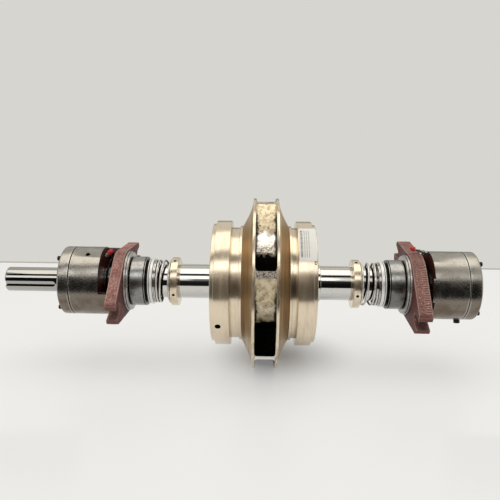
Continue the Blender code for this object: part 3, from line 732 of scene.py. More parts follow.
def makeVanes():
    # one vane as a curved sheet with cast fillets at both shrouds, then copied round the shaft
    i = impeller
    rows, columns, outer = 44, 24, i["rim"] - 0.0004
    points, faces = [], []
    for side in (-1, 1):
        for level in range(rows + 1):
            rise = level / rows
            for column in range(columns + 1):
                share = -math.cos(math.pi * column / columns)        # closer together at the shrouds
                foot = hubRadius(share * 0.034) - 0.0015
                radius = foot + (outer - foot) * rise
                half = vaneHalf(radius)
                wall = half * (1 - abs(share))
                thick = i["thick"] / 2
                if radius > i["eye"] + i["bend"] * 0.5:
                    near = max(i["fillet"] - max(wall - 0.0012, 0), 0)
                    thick += i["fillet"] - math.sqrt(i["fillet"] ** 2 - min(near, i["fillet"]) ** 2)
                else:                                                # free edge in the eye, rounded
                    away = max(1 - wall / 0.0025, 0)
                    thick *= math.sqrt(max(1 - away ** 2, 0.02))
                middle = math.radians(i["tip"]) - math.log(outer / radius) / math.tan(
                    math.radians(i["angle"]))
                spread = side * thick / (radius * math.sin(math.radians(i["angle"])))
                x = row["impellerX"] + share * half
                if 0.06 < radius < outer - 0.001:
                    bump = noise.noise(Vector((x, radius, side + rise)) * 90) * 0.0004
                    spread += side * bump / radius
                points.append(around(x, radius, math.degrees(middle + spread)))
    width, sheet = columns + 1, (rows + 1) * (columns + 1)
    for level in range(rows):
        for column in range(columns):
            a = level * width + column
            faces += [(a, a + 1, a + width + 1, a + width),
                      (a + sheet, a + sheet + 1, a + sheet + width + 1, a + sheet + width)]
    for level in range(rows):
        for a in (level * width, level * width + columns):
            faces.append((a, a + width, a + width + sheet, a + sheet))
    for column in range(columns):
        for a in (column, rows * width + column):
            faces.append((a, a + 1, a + 1 + sheet, a + sheet))
    mesh = bpy.data.meshes.new("impeller_vanes")
    mesh.from_pydata(points, [], faces)
    vanes = copied(loose("impeller_vanes", facingOut(mesh)), i["vanes"], "vane", 360 / i["vanes"])
    return placed(vanes, "rotor", "vane", [f"impeller_vane_{n + 1}" for n in range(i["vanes"])])


def makeHub():
    i = impeller
    side = [(i["hubHalf"] * step / 20, hubRadius(i["hubHalf"] * step / 20), 0) for step in range(20)]
    outer = [(-x, radius, 0) for x, radius, _ in reversed(side)] + side[1:]
    outline = [(-i["hubHalf"], i["nose"], 0.0015)] + outer + [
        (i["hubHalf"], i["nose"], 0.0015), (i["hubHalf"], i["bore"], 0.0008),
        (-i["hubHalf"], i["bore"], 0.0008)]
    mesh = turnedMesh("impeller_hub_casting", eased(along(ends["outboard"], *outline), 0), 160)
    return placed(loose("impeller_hub_casting", mesh), "rotor", "impeller", ["impeller_hub"])


print("impeller")
for endName, end in ends.items():
    makeShroud(endName + "_shroud_casting", end)
makeVanes()
makeHub()


# Shaft, sleeves and seals

shaft = {"end": 0.4407, "stub": 0.0206, "journal": 0.0225, "middle": 0.0249, "short": 0.0016,
         "sleeve": 0.0283, "bore": 0.0252, "shoulder": 0.0315, "shoulderLong": 0.0165,
         "keyWide": 0.0095, "keyDeep": 0.0055, "keyLong": 0.086, "keyClock": -9}
seal = {"collarStart": 0.146, "collarEnd": 0.158, "collar": 0.041, "spring": 0.0352, "wire": 0.00175,
        "groove": 0.0022, "undercut": 0.0016,
        "disc": 0.0373, "retainer": 0.039, "face": 0.035, "seat": 0.0363, "seatBore": 0.0295,
        "housing": 0.0416, "housingBore": 0.0366, "pilot": 0.051, "flangeBore": 0.033}


def makeShaft():
    s = shaft
    drive, outboard = ends["drive"], ends["outboard"]
    stop = outboard["cover"] - 0.004
    left, right = (end["barrel"] - row["wall"] - s["short"] for end in (drive, outboard))
    outline = [(-s["end"], 0), (-s["end"], s["stub"], 0.0022), (-drive["cover"], s["stub"], 0),
               (-drive["cover"], s["journal"], 0.0008), (-left, s["journal"], 0),
               (-left, s["middle"], 0.0008), (right, s["middle"], 0.0008),
               (right, s["journal"], 0), (stop, s["journal"], 0.0018), (stop, 0)]
    item = loose("shaft_ground", turnedMesh("shaft_ground", eased(along(outboard, *outline), 0.0008), 128))
    # the keyway is milled with a side cutter, so its inner end is half round
    floor, top, half = s["stub"] - s["keyDeep"], s["stub"] + 0.004, s["keyWide"] / 2
    far, near = row["impellerX"] - s["end"] - 0.006, row["impellerX"] - s["end"] + s["keyLong"] - half
    corners = [(far, -half), (near, -half)]
    corners += [(near + half * math.sin(a), -half * math.cos(a))
                for a in (math.pi * step / 12 for step in range(1, 12))]
    corners += [(near, half), (far, half)]
    out, across = outward(s["keyClock"]), outward(s["keyClock"] + 90)
    centre = Vector((0, 0, row["axisZ"]))
    maker = bmesh.new()
    low = [maker.verts.new(centre + Vector((x, 0, 0)) + across * w + out * floor) for x, w in corners]
    high = [maker.verts.new(centre + Vector((x, 0, 0)) + across * w + out * top) for x, w in corners]
    maker.faces.new(low)
    maker.faces.new(high)
    for step in range(len(corners)):
        after = (step + 1) % len(corners)
        maker.faces.new((low[step], low[after], high[after], high[step]))
    mesh = bpy.data.meshes.new("keyway cutter")
    maker.to_mesh(mesh)
    maker.free()
    cut(item, [loose("keyway cutter", facingOut(mesh))])
    return placed(item, "rotor", "ground", ["shaft"], 28)


def makeSleeve(name, end):
    s = shaft
    start = impeller["hubHalf"] + row["gap"]
    shoulder, stop = start + s["shoulderLong"], end["sealHousing"] + 0.015
    turned(name + "_sleeve_ground", along(
        end, (start, s["bore"]), (start, s["shoulder"]), (shoulder, s["shoulder"]),
        (shoulder, s["sleeve"], 0.0012), (stop, s["sleeve"]), (stop, s["bore"])), "rotor", "ground",
        [name + "_shaft_sleeve"], 0.0007, 128)


def makeCollar(name, end):
    c = seal
    item = loose(name + "_collar_turned", turnedMesh(name + "_collar_turned", eased(along(
        end, (c["collarStart"], shaft["sleeve"] + row["gap"]), (c["collarStart"], c["collar"]),
        (c["collarEnd"], c["collar"]), (c["collarEnd"], shaft["sleeve"] + row["gap"])), 0.0009), 128))
    x = row["impellerX"] + end["side"] * (c["collarStart"] + 0.006)
    holes, screws = [], []
    for clock in end["holes"]:
        holes.append(loose(f"{name} hole {clock}", rodMesh(
            "hole", around(x, c["collar"] - 0.0062, clock), outward(clock),
            [(0, 0), (0, 0.0025), (0.012, 0.0025), (0.012, 0)], 24)))
        screws.append(rodMesh("screw", around(x, c["collar"] - 0.0060, clock), outward(clock), [
            (0, 0), (0, 0.0023), (0.0042, 0.0023), (0.0048, 0.0018), (0.0048, 0.0012),
            (0.0028, 0.0012), (0.0028, 0)], 18))
    cut(item, holes)
    holeShaded(item, *[(around(x, c["collar"] - 0.0062, clock), outward(clock), 0.0025) for clock in end["holes"]])
    placed(item, "rotor", "ring", [name + "_seal_collar"])
    placed(joined(name + "_collar_set_screws", screws), "rotor", "black")


def joined(name, meshes):
    # several closed meshes as one piece
    maker = bmesh.new()
    for mesh in meshes:
        maker.from_mesh(mesh)
    mesh = bpy.data.meshes.new(name)
    maker.to_mesh(mesh)
    maker.free()
    return loose(name, mesh)


def makeSpring(name, end):
    c = seal
    first = c["collarEnd"] + c["wire"] + 0.0013
    clock, turns, flat, closing = end["coil"]
    item = grown(loose(name + "_spring_wire", bpy.data.meshes.new(name + "_spring_wire")),
                 rules["coil"], {
        "Turns": turns, "Radius": c["spring"], "Wire": c["wire"],
        "First": math.radians(clock), "Flat": flat, "Closing": closing,
        "Start": row["impellerX"] + end["side"] * first, "Height": row["axisZ"],
        "Length": end["side"] * (end["spring"] - c["wire"] - first), "Finish": finishOf("spring")})
    placed(item, "rotor", "spring", [name + "_seal_spring"], 60)


def makeSealStack(name, end):
    c, gap, bore = seal, row["gap"], shaft["sleeve"] + row["gap"]
    # the disc is a pair of thin pressed rings on a smaller drum
    disc, stop, floor = end["disc"], end["retainer"] - gap, c["disc"] - c["groove"]
    ribs = []
    for step in range(2):
        low, high = (disc + (stop - disc) * (step + part) / 2 for part in (0.18, 0.74))
        ribs += [(low, floor, 0), (low, c["disc"], 0.0003), (high, c["disc"], 0.0003), (high, floor, 0)]
    turned(name + "_spring_disc_pressed", along(end, (disc, bore), (disc, floor), *ribs, (stop, floor),
                                                (stop, bore)),
           "rotor", "bright", [name + "_spring_disc"], 0.0003, 128)
    start, stop = end["retainer"], end["face"] - gap
    item = loose(name + "_retainer_pressed", turnedMesh(name + "_retainer_pressed", eased(along(
        end, (start, bore), (start, c["retainer"] - 0.0006, 0.0010), (start + 0.0012, c["retainer"]),
        (stop - 0.0030, c["retainer"], 0.0006), (stop - 0.0026, c["retainer"] - 0.0012, 0.0003),
        (stop - 0.0018, c["retainer"] - 0.0012, 0.0003), (stop - 0.0014, c["retainer"] - 0.0002, 0.0004),
        (stop, c["retainer"] - 0.0004, 0.0006), (stop, bore)), 0.0006), 144))
    if name == "outboard":                                   # two round dents left by a setting tool
        dents = [(around(row["impellerX"] + start + 0.0036, c["retainer"] - 0.0009, clock), outward(clock),
                  0.0013) for clock in (17, 12)]
        cut(item, [loose(f"dent {place.z}", rodMesh("dent", place, way, [
            (0, 0), (0, wide), (0.006, wide), (0.006, 0)], 20)) for place, way, wide in dents])
    placed(item, "rotor", "bright", [name + "_seal_retainer"])
    start, stop = end["face"], end["face"] + 0.0022
    turned(name + "_face_carbon", along(end, (start, bore), (start, c["face"]), (stop, c["face"]),
                                        (stop, bore)), "rotor", "rubber", [name + "_seal_face"], 0.0004, 96)
    start, stop = stop + gap, end["sealHousing"] + 0.006
    turned(name + "_seat_ring", along(end, (start, c["seatBore"]), (start, c["seat"]), (stop, c["seat"]),
                                      (stop, c["seatBore"])), name + "_cartridge", "bright",
           [name + "_seal_seat"], 0.0005, 96)


def makeSealHousing(name, end):
    c, gap = seal, row["gap"]
    start, stop = end["sealHousing"], end["pilot"] - gap
    low, high = start + 0.0012, start + 0.0027
    grooves = [(low, c["housing"], 0.0003), (low, c["housing"] - c["groove"], 0),
               (high, c["housing"] - c["groove"], 0), (high, c["housing"], 0.0003)]
    neck = c["housing"] - c["groove"]
    turned(name + "_seal_housing_turned", along(
        end, (start, c["housingBore"], 0.0012), (start, c["housing"] - 0.0003, 0.0006), *grooves,
        (stop - c["undercut"], c["housing"]), (stop - c["undercut"], neck, 0), (stop, neck),
        (stop, c["housingBore"])), name + "_cartridge", "grey", [name + "_seal_housing"], 0.0005, 160)
    start, stop = end["pilot"], end["flange"] - gap
    profile = [(start, c["flangeBore"]), (start, c["pilot"] - 0.0020, 0.0010)]
    for part, rise in ((0.42, 0.0004),):                     # a fine groove parts its two lands
        low = start + (stop - start) * part
        profile += [(low, c["pilot"] - 0.0016 + rise, 0.0004), (low, c["pilot"] - c["groove"] - 0.0010, 0),
                    (low + 0.0008, c["pilot"] - c["groove"] - 0.0010, 0),
                    (low + 0.0008, c["pilot"] - 0.0008 + rise, 0.0004)]
    turned(name + "_pilot_ring_turned", along(end, *profile, (stop, c["pilot"]), (stop, c["flangeBore"])),
           name + "_cartridge", "grey", [name + "_pilot_ring"], 0.0005, 160)


print("shaft and seals")
makeShaft()
for endName, end in ends.items():
    makeSleeve(endName, end)
    makeCollar(endName, end)
    makeSpring(endName, end)
    makeSealStack(endName, end)
    makeSealHousing(endName, end)


# Wear rings

ring = {"radius": 0.105, "lip": 0.0995, "bore": 0.0941, "band": 0.0247, "length": 0.031,
        "pinClock": -28, "pinAlong": 0.0178, "pinRadius": 0.0048, "dotClock": 31, "dotAlong": 0.0268,
        "dotRadius": 0.0012}


def makeWearRing(name, end):
    r = ring
    start = end["wear"]
    band, stop = start + r["band"], start + r["length"]
    item = loose(name + "_ring_turned", turnedMesh(name + "_ring_turned", eased(along(
        end, (start, r["bore"]), (start, r["radius"], 0.0008), (band, r["radius"], 0.0008),
        (band, r["lip"], 0.0004), (stop, r["lip"], 0.0016), (stop, r["bore"], 0.0008)), 0.0005), 224))
    if name == "drive":                                      # the hole for the pin that stops the ring turning
        place, wide = around(row["impellerX"] + end["side"] * (start + r["pinAlong"]), r["radius"] - 0.0055,
                             r["pinClock"]), r["pinRadius"]
        way = outward(r["pinClock"])
    else:                                                    # a small punch mark beside the label
        place, wide = around(row["impellerX"] + end["side"] * (start + r["dotAlong"]), r["lip"] - 0.0022,
                             r["dotClock"]), r["dotRadius"]
        way = outward(r["dotClock"])
    cut(item, [loose(name + " ring mark", rodMesh("ring mark", place, way, [
        (0, 0), (0, wide), (0.012, wide), (0.012, 0)], 32))])
    holeShaded(item, (place, way, wide))
    placed(item, name + "_ring", "ring", [name + "_wear_ring"])


label = {"first": 33.0, "last": 71.0, "low": 0.0012, "high": 0.0290}


def makeLabel():
    # a thin paper sheet wrapped on the outboard ring
    r, end = ring, ends["outboard"]
    first, last = label["first"], label["last"]
    low, high = end["wear"] + label["low"], end["wear"] + label["high"]
    inner, outer, corner = r["radius"] + 0.00004, r["radius"] + 0.00024, 2.0
    points, faces, steps, rows = [], [], 40, 12
    for radius in (inner, outer):
        for step in range(steps + 1):
            clock = first + (last - first) * step / steps
            trim = max(corner - min(clock - first, last - clock), 0) / corner * 0.0012
            for line in range(rows + 1):
                x = low + trim + (high - low - 2 * trim) * line / rows
                curl = 0.00025 * (line / rows) ** 6 * (step / steps) ** 3
                points.append(around(row["impellerX"] + x, radius + curl, clock))
    width, sheet = rows + 1, (steps + 1) * (rows + 1)
    for step in range(steps):
        for line in range(rows):
            a = step * width + line
            faces += [(a, a + 1, a + width + 1, a + width),
                      (a + sheet, a + sheet + 1, a + sheet + width + 1, a + sheet + width)]
    for step in range(steps):
        for a in (step * width, step * width + rows):
            faces.append((a, a + width, a + width + sheet, a + sheet))
    for line in range(rows):
        for a in (line, steps * width + line):
            faces.append((a, a + 1, a + 1 + sheet, a + sheet))
    mesh = bpy.data.meshes.new("outboard_ring_label")
    mesh.from_pydata(points, [], faces)
    placed(loose("outboard_ring_label", facingOut(mesh)), "outboard_ring", "label")


print("wear rings")
for endName, end in ends.items():
    makeWearRing(endName, end)
makeLabel()


# Bearing cartridges

housing = {"radius": 0.0575, "yokeBore": 0.048, "bore": 0.0232, "seam": 0.0014, "coverBore": 0.0272,
           "deflector": 0.038, "oilAlong": 0.295, "oilClock": 62, "oilRadius": 0.0038,
           "screwCircle": 0.0505, "screwClocks": (58, -50, 178), "plugClock": -76, "plugAlong": 0.325}
flange = {"hub": 0.053, "reach": 0.0986, "half": 0.0205, "taper": 20.4, "slotHalf": 0.0094,
          "slotCentre": 0.082, "corner": 0.004, "voxel": 0.0009, "rough": 0.00022,
          "teeth": 20, "toothPitch": 0.0041, "toothLong": 0.0108, "toothHigh": 0.0008}


def windowCutter(name, end, first, last, high):
    # a curved block that opens the yoke between two clocks, as far as a station
    h = housing
    inner, outer = h["yokeBore"] - 0.004, h["radius"] + 0.004
    low = end["yoke"] - 0.002
    points, faces, steps = [], [], max(8, round(abs(last - first) / 3))
    for step in range(steps + 1):
        clock = first + (last - first) * step / steps
        for x, radius in ((low, inner), (high, inner), (high, outer), (low, outer)):
            points.append(around(row["impellerX"] + end["side"] * x, radius, clock))
    for step in range(steps):
        for side in range(4):
            a, b = step * 4 + side, step * 4 + (side + 1) % 4
            faces.append((a, b, b + 4, a + 4))
    faces += [(0, 1, 2, 3), tuple(steps * 4 + side for side in range(4))]
    mesh = bpy.data.meshes.new(name)
    mesh.from_pydata(points, [], faces)
    return loose(name, facingOut(mesh))


def makeHousing(name, end):
    h = housing
    wall, stop = end["barrel"] - row["wall"], end["cover"] - row["gap"]
    item = loose(name + "_housing_turned", turnedMesh(name + "_housing_turned", eased(along(
        end, (end["yoke"], h["yokeBore"], 0), (end["yoke"], h["radius"], 0.0006),
        (stop, h["radius"], h["seam"]), (stop, h["bore"], 0), (wall, h["bore"], 0.0008),
        (wall, h["yokeBore"], 0.0020)), 0), 180))
    openings = [(first, last, wall) for first, last in end["windows"]]
    if end["slit"]:
        openings.append(end["slit"])
    cutters = [windowCutter(f"{name} window {opening[0]}", end, *opening) for opening in openings]
    if name == "drive":
        x = row["impellerX"] - h["oilAlong"]
        cutters.append(loose("oil hole", rodMesh(
            "oil hole", around(x, h["radius"] - 0.009, h["oilClock"]), outward(h["oilClock"]),
            [(0, 0), (0, h["oilRadius"]), (0.0078, h["oilRadius"]), (0.0105, h["oilRadius"] + 0.0025),
             (0.0105, 0)], 36)))
    cut(item, cutters)
    bevelled(item, 0.0013)
    if name == "drive":
        holeShaded(item, (around(x, h["radius"] - 0.009, h["oilClock"]), outward(h["oilClock"]), h["oilRadius"]))
    placed(item, name + "_cartridge", "housing", [name + "_bearing_housing"], 35)


def capScrew(x, radius, clock, side):
    # a socket-head screw whose head stands on the cover's outer face
    direction = Vector((side, 0, 0))
    outline = [(-0.0010, 0), (-0.0010, 0.0040), (0.0048, 0.0040), (0.0054, 0.0034), (0.0054, 0.0021),
               (0.0018, 0.0021), (0.0018, 0)]
    return rodMesh("cover screw", around(x, radius, clock), direction, outline, 24)


def makeCovers():
    h = housing
    drive, outboard = ends["drive"], ends["outboard"]
    face = drive["outer"] - 0.0012
    turned("drive_cover_turned", along(
        drive, (drive["cover"], h["coverBore"]), (drive["cover"], h["radius"], h["seam"]),
        (drive["outer"], h["radius"], 0.0034), (drive["outer"], 0.0400, 0.0006), (face, 0.0392, 0),
        (face, 0.0330, 0), (drive["outer"], 0.0322, 0.0006), (drive["outer"], h["coverBore"], 0.0010)),
        "drive_cartridge", "housing", ["drive_end_cover"], 0.0009, 180)
    low, high = drive["cover"] + 0.006, drive["outer"] - 0.0015
    turned("drive_lip_seal", along(
        drive, (low, shaft["stub"] + 0.0005), (low, h["coverBore"] - 0.0003),
        (high, h["coverBore"] - 0.0003), (high, shaft["stub"] + 0.0042), (high - 0.0022, shaft["stub"] + 0.0030),
        (high - 0.0004, shaft["stub"] + 0.0005)), "drive_cartridge", "rubber", ["drive_shaft_seal"], 0.0004, 96)
    face = outboard["outer"] - 0.0010
    turned("outboard_cover_turned", along(
        outboard, (outboard["cover"], 0), (outboard["cover"], h["radius"], h["seam"]),
        (outboard["outer"], h["radius"], 0.0030), (outboard["outer"], 0.0330, 0.0006), (face, 0.0320, 0),
        (face, 0.0050, 0), (face - 0.0012, 0.0022, 0), (face - 0.0012, 0)), "outboard_cartridge",
        "housing", ["outboard_end_cover"], 0.0009, 180)
    for name, end in ends.items():
        x = row["impellerX"] + end["side"] * end["outer"]
        heads = [capScrew(x, h["screwCircle"], clock, end["side"]) for clock in h["screwClocks"]]
        placed(joined(name + "_cover_screws", heads), name + "_cartridge", "black")


def makeFlange(name, end):
    f = flange
    half = [(f["reach"] - f["corner"], -f["half"]), (f["reach"], f["corner"] - f["half"]),
            (f["reach"], -f["slotHalf"])]
    half += [(f["slotCentre"] + f["slotHalf"] * math.cos(a), f["slotHalf"] * math.sin(a))
             for a in (-math.pi / 2 - math.pi * step / 16 for step in range(17))]
    half += [(f["reach"], f["slotHalf"]), (f["reach"], f["half"] - f["corner"]),
             (f["reach"] - f["corner"], f["half"])]
    taper = math.radians(f["taper"])
    half += [(f["hub"] * math.cos(a), f["hub"] * math.sin(a))
             for a in (math.pi / 2 - taper + 2 * taper * step / 12 for step in range(13))]
    outline = half + [(-a, -b) for a, b in half]
    start = row["impellerX"] + end["side"] * end["flange"]
    stop = row["impellerX"] + end["side"] * (end["yoke"] - row["gap"])
    out, across = outward(end["ears"]), outward(end["ears"] + 90)
    maker = bmesh.new()
    corners = [maker.verts.new(Vector((start, 0, row["axisZ"])) + out * a + across * b) for a, b in outline]
    grown = bmesh.ops.extrude_face_region(maker, geom=[maker.faces.new(corners)])
    bmesh.ops.translate(maker, verts=[v for v in grown["geom"] if isinstance(v, bmesh.types.BMVert)],
                        vec=(stop - start, 0, 0))
    mesh = bpy.data.meshes.new(name + "_flange_casting")
    maker.to_mesh(mesh)
    maker.free()
    item = loose(name + "_flange_casting", facingOut(mesh))
    bore = seal["flangeBore"]
    cut(item, [loose("bore", turnedMesh("bore", [(start - 0.03, 0), (start - 0.03, bore), (start + 0.03, bore),
                                                 (start + 0.03, 0)], 96))])
    change = item.modifiers.new("cast edges", "REMESH")
    change.mode, change.voxel_size, change.use_smooth_shade = "VOXEL", f["voxel"], True
    change = item.modifiers.new("soften", "SMOOTH")
    change.factor, change.iterations = 0.5, 2
    settled(item)
    roughened(item.data, out, across, (start + stop) / 2, -end["side"])
    placed(item, name + "_cartridge", "flange", [name + "_mounting_flange"], 80)
    if name == "outboard":
        makeTeeth(stop, out, across)


def roughened(mesh, out, across, middle, inboard):
    # sand texture, but not under the pilot ring; corners are marked as rubbed, and the slots, the pilot ring's
    # joint, the inboard faces and the ear ends for painted shade
    f = flange
    count = len(mesh.vertices)
    places, normals = np.empty(count * 3), np.empty(count * 3)
    mesh.vertices.foreach_get("co", places)
    mesh.vertex_normals.foreach_get("vector", normals)
    places, normals = places.reshape(-1, 3), normals.reshape(-1, 3)
    pairs = np.empty(len(mesh.edges) * 2, dtype=int)
    mesh.edges.foreach_get("vertices", pairs)
    pairs = np.concatenate([pairs.reshape(-1, 2), pairs.reshape(-1, 2)[:, ::-1]])
    around_, links = np.zeros_like(places), np.bincount(pairs[:, 0], minlength=count)[:, None]
    for axis in range(3):
        around_[:, axis] = np.bincount(pairs[:, 0], places[pairs[:, 1], axis], count)
    bulge = ((places - around_ / links) * normals).sum(axis=1) / f["voxel"]
    for turn in range(3):                                    # spread each corner over its neighbours
        bulge = (bulge + np.bincount(pairs[:, 0], bulge[pairs[:, 1]], count) / links[:, 0]) / 2
    wear = np.clip((bulge - 0.012) / 0.04, 0, 1)
    fromAxis = places - np.array((0, 0, row["axisZ"]))
    length, width = np.abs(fromAxis @ np.array(out)), fromAxis @ np.array(across)
    slot = np.abs(np.hypot(np.minimum(length - f["slotCentre"], 0), width)) < f["slotHalf"] + 0.0007
    deep = 1 - np.abs(places[:, 0] - middle) / 0.012
    # painted shade: the slot floors and the joint with the pilot ring
    ringShade = np.clip(1 - np.abs(np.hypot(fromAxis[:, 1], fromAxis[:, 2]) - 0.0512) / 0.0022, 0, 1)
    hollowShade = np.maximum(slot * (length > 0.06) * np.clip(deep * 1.6, 0, 1) * 0.8, ringShade * 0.75)
    # painted shade on faces turned inboard and on the ear ends
    tips = np.abs(normals @ np.array(out)) * (length > f["reach"] - 0.006) * 1.2
    oil = np.maximum(np.clip(normals[:, 0] * inboard, 0, 1), tips * 0.75)
    for label, values in (("wear", wear), ("hollowShade", hollowShade), ("oil", oil)):
        mesh.attributes.new(label, "FLOAT", "POINT").data.foreach_set("value", values)
    reach = np.clip((np.hypot(fromAxis[:, 1], fromAxis[:, 2]) - 0.058) / 0.006, 0, 1) * f["rough"]
    lumps = np.array([noise.fractal(Vector(place) * 260, 0.7, 2.0, 3) - 0.6 for place in places])
    mesh.vertices.foreach_set("co", (places + normals * (reach * lumps)[:, None]).ravel())
    mesh.update()


def makeTeeth(edge, out, across):
    # a row of raised lines across the flange's front flat, from the hub to the ear's corner
    f = flange
    taper = math.radians(f["taper"])
    centre = Vector((0, 0, row["axisZ"]))
    hub = out * (f["hub"] * math.sin(taper)) + across * (f["hub"] * math.cos(taper))
    flat = (out * (f["reach"] - f["corner"]) + across * f["half"] - hub).normalized()
    up = flat.cross(Vector((1, 0, 0)))
    up = up if up.dot(hub) > 0 else -up
    points = []
    for x, high in ((edge - 0.0004, 0.8), (edge - f["toothLong"] * 0.55, 1.0), (edge - f["toothLong"], 0.0)):
        for shift, rise in ((-0.0009, -1.0), (-0.0003, high), (0.0003, high), (0.0009, -1.0)):
            points.append(centre + hub + flat * (0.0005 + shift) + up * (rise * f["toothHigh"])
                          + Vector((x, 0, 0)))
    faces = [(0, 1, 2, 3), (8, 9, 10, 11)]
    for step in (0, 4):
        faces += [(step + a, step + (a + 1) % 4, step + 4 + (a + 1) % 4, step + 4 + a) for a in range(4)]
    mesh = bpy.data.meshes.new("outboard_flange_teeth")
    mesh.from_pydata(points, [], faces)
    mesh.attributes.new("wear", "FLOAT", "POINT").data.foreach_set(
        "value", [float(number % 4 in (1, 2)) for number in range(len(points))])
    item = copied(loose("outboard_flange_teeth", facingOut(mesh)), f["teeth"], "flange",
                  shift=tuple(flat * f["toothPitch"]))
    placed(item, "outboard_cartridge", "flange", (), 60)


fitting = {"wide": 0.0035, "neck": 0.0022, "cap": 0.0042, "capLong": 0.0085}


def makeFitting(name, end):
    # hexagon, neck, shoulder and ball of a grease fitting, with its moulded cap
    f = fitting
    clock, lean, seat, length = end["fitting"]
    lean = math.radians(lean)
    inboard = Vector((-end["side"], 0, 0))
    direction = outward(clock) * math.sin(lean) + inboard * math.cos(lean)
    wall = row["impellerX"] + end["side"] * (end["barrel"] - row["wall"] - row["gap"])
    start = around(wall, seat, clock) + inboard * (f["wide"] * math.sin(lean))
    hexagon = rodMesh("hexagon", start, direction, [
        (0.0002, 0), (0.0002, f["wide"] - 0.0003), (0.0004, f["wide"]), (length * 0.36, f["wide"]),
        (length * 0.40, f["wide"] - 0.0004), (length * 0.40, 0)], 6)
    stem = rodMesh("stem", start, direction, eased([
        (length * 0.3, 0), (length * 0.3, f["neck"], 0), (length * 0.55, f["neck"]),
        (length * 0.58, f["wide"] - 0.0005, 0.0004), (length * 0.68, f["wide"] - 0.0005, 0.0004),
        (length * 0.72, f["neck"] - 0.0006), (length * 0.88, f["neck"] - 0.0006),
        (length * 0.94, f["neck"], 0.0004), (length, f["neck"] - 0.0003), (length, 0)], 0.0002), 28)
    item = joined(name + "_fitting_nipple", [hexagon, stem])
    placed(item, name + "_cartridge", "zinc", [name + "_grease_fitting"], 30)
    wide, long = f["cap"], f["capLong"]
    cap = rodMesh(name + "_cap_moulded", start + direction * (length + row["gap"]), direction, eased([
        (0, 0), (0, wide - 0.0002, 0.0006), (long * 0.21, wide, 0.0004), (long * 0.26, wide - 0.0006, 0.0003),
        (long * 0.73, wide - 0.0006, 0.0012), (long * 0.85, wide * 0.52, 0.0008),
        (long, wide * 0.38, 0.0008), (long, 0)], 0.0005), 36)
    placed(loose(name + "_cap_moulded", cap), name + "_cartridge", "cap", [name + "_fitting_cap"], 40)


def makeDeflector(name, end):
    h = housing
    middle, half = (end["yoke"] + end["barrel"] - row["wall"]) / 2, 0.0015
    bore = shaft["middle"] + row["gap"]
    turned(name + "_deflector_turned", along(
        end, (middle - half, bore), (middle - half, h["deflector"], 0.0008),
        (middle + half, h["deflector"], 0.0008), (middle + half, 0.0295), (middle + 3 * half, 0.0295),
        (middle + 3 * half, bore)), "rotor", "grey", [name + "_deflector"], 0.0006, 96)


def makeDrainPlug():
    h = housing
    start = around(row["impellerX"] + h["plugAlong"], h["radius"] + row["gap"], h["plugClock"])
    mesh = rodMesh("outboard_plug_black", start, outward(h["plugClock"]), eased([
        (0, 0), (0, 0.0052, 0.0003), (0.0055, 0.0052, 0.0010), (0.0063, 0.0030, 0.0003),
        (0.0063, 0.0026, 0), (0.0030, 0.0026, 0), (0.0030, 0)], 0.0004), 36)
    placed(loose("outboard_plug_black", mesh), "outboard_cartridge", "black", ["outboard_drain_plug"], 35)


print("bearing cartridges")
for endName, end in ends.items():
    makeHousing(endName, end)
    makeFlange(endName, end)
    makeFitting(endName, end)
    makeDeflector(endName, end)
makeCovers()
makeDrainPlug()


# Bench, light and camera

studio = {"bench": (0.42, 0.42, 0.415, 1), "benchGlow": 0.46, "wall": linear(215, 213, 207),
          "worldPower": 1.0, "front": -0.48, "back": 0.78, "wide": 3.0, "height": 1.45,
          "lamp": (2.6, 1.15), "power": 10.4}


def plainFinish(name, colour, roughness, glow=(0, 0, 0)):
    finish = bpy.data.materials.new(name)
    finish.use_nodes = True
    inputs = finish.node_tree.nodes["Principled BSDF"].inputs
    inputs["Base Color"].default_value = colour
    inputs["Roughness"].default_value = roughness
    inputs["Emission Color"].default_value = glow + (1,)
    inputs["Emission Strength"].default_value = 1.0 if max(glow) else 0.0
    return finish


def sheet(name, corners, finish):
    mesh = bpy.data.meshes.new(name)
    mesh.from_pydata([Vector(c) for c in corners], [], [(0, 1, 2, 3)])
    item = loose(name, mesh)
    mesh.materials.append(finish)
    return item


def card(name, low, high, distance, left, right, glow, behind=False):
    # seen in the polished metal only: it fills the elevations from low to high, as the shaft sees it
    side = 1 if behind else -1
    corners = []
    for angle, span in ((math.radians(low), (left, right)), (math.radians(high), (right, left))):
        for x in span:
            corners.append((x, side * distance * math.cos(angle), row["axisZ"] + distance * math.sin(angle)))
    finish = plainFinish(name, (0, 0, 0, 1), 1.0, glow)
    finish.node_tree.nodes["Principled BSDF"].inputs["Specular IOR Level"].default_value = 0.0
    item = sheet(name, corners, finish)
    item.visible_camera = item.visible_diffuse = item.visible_shadow = False
    item.visible_transmission = item.visible_volume_scatter = False


def makeBenchTop():
    # a pale bench that glows a little, so the shadows stay soft; near the impeller's contact and in a patch behind
    # it the glow drops, a painted shadow
    s = studio
    f = Finish("pale bench")
    # painted shadow: less glow at the contact and in a patch behind and to the right of it
    contact = (f.x * f.x * 1.5 + f.y * f.y * 4) ** 0.5
    x, y = f.x - 0.030, f.y - 0.045
    behind = (x * x + y * y) ** 0.5
    glow = f.mix(behind.between(0.0, 0.15), (0.08, 0.08, 0.08, 1), (s["benchGlow"],) * 3 + (1,))
    glow = f.mix(contact.between(0.0, 0.05), (0.20, 0.20, 0.20, 1), glow)
    f.feed(f.shader.inputs["Emission Color"], glow)
    f.shader.inputs["Emission Strength"].default_value = 1.0
    return f.dress(s["bench"], 0.0, 0.38)


print("bench and light")
s = studio
sheet("bench", [(-s["wide"], s["front"], 0), (s["wide"], s["front"], 0), (s["wide"], s["back"], 0),
                (-s["wide"], s["back"], 0)], makeBenchTop())
sheet("bench edge", [(-s["wide"], s["back"], -0.002), (s["wide"], s["back"], -0.002),
                     (s["wide"], s["back"], 0.004), (-s["wide"], s["back"], 0.004)],
      plainFinish("bench edge", linear(196, 194, 188), 0.6))

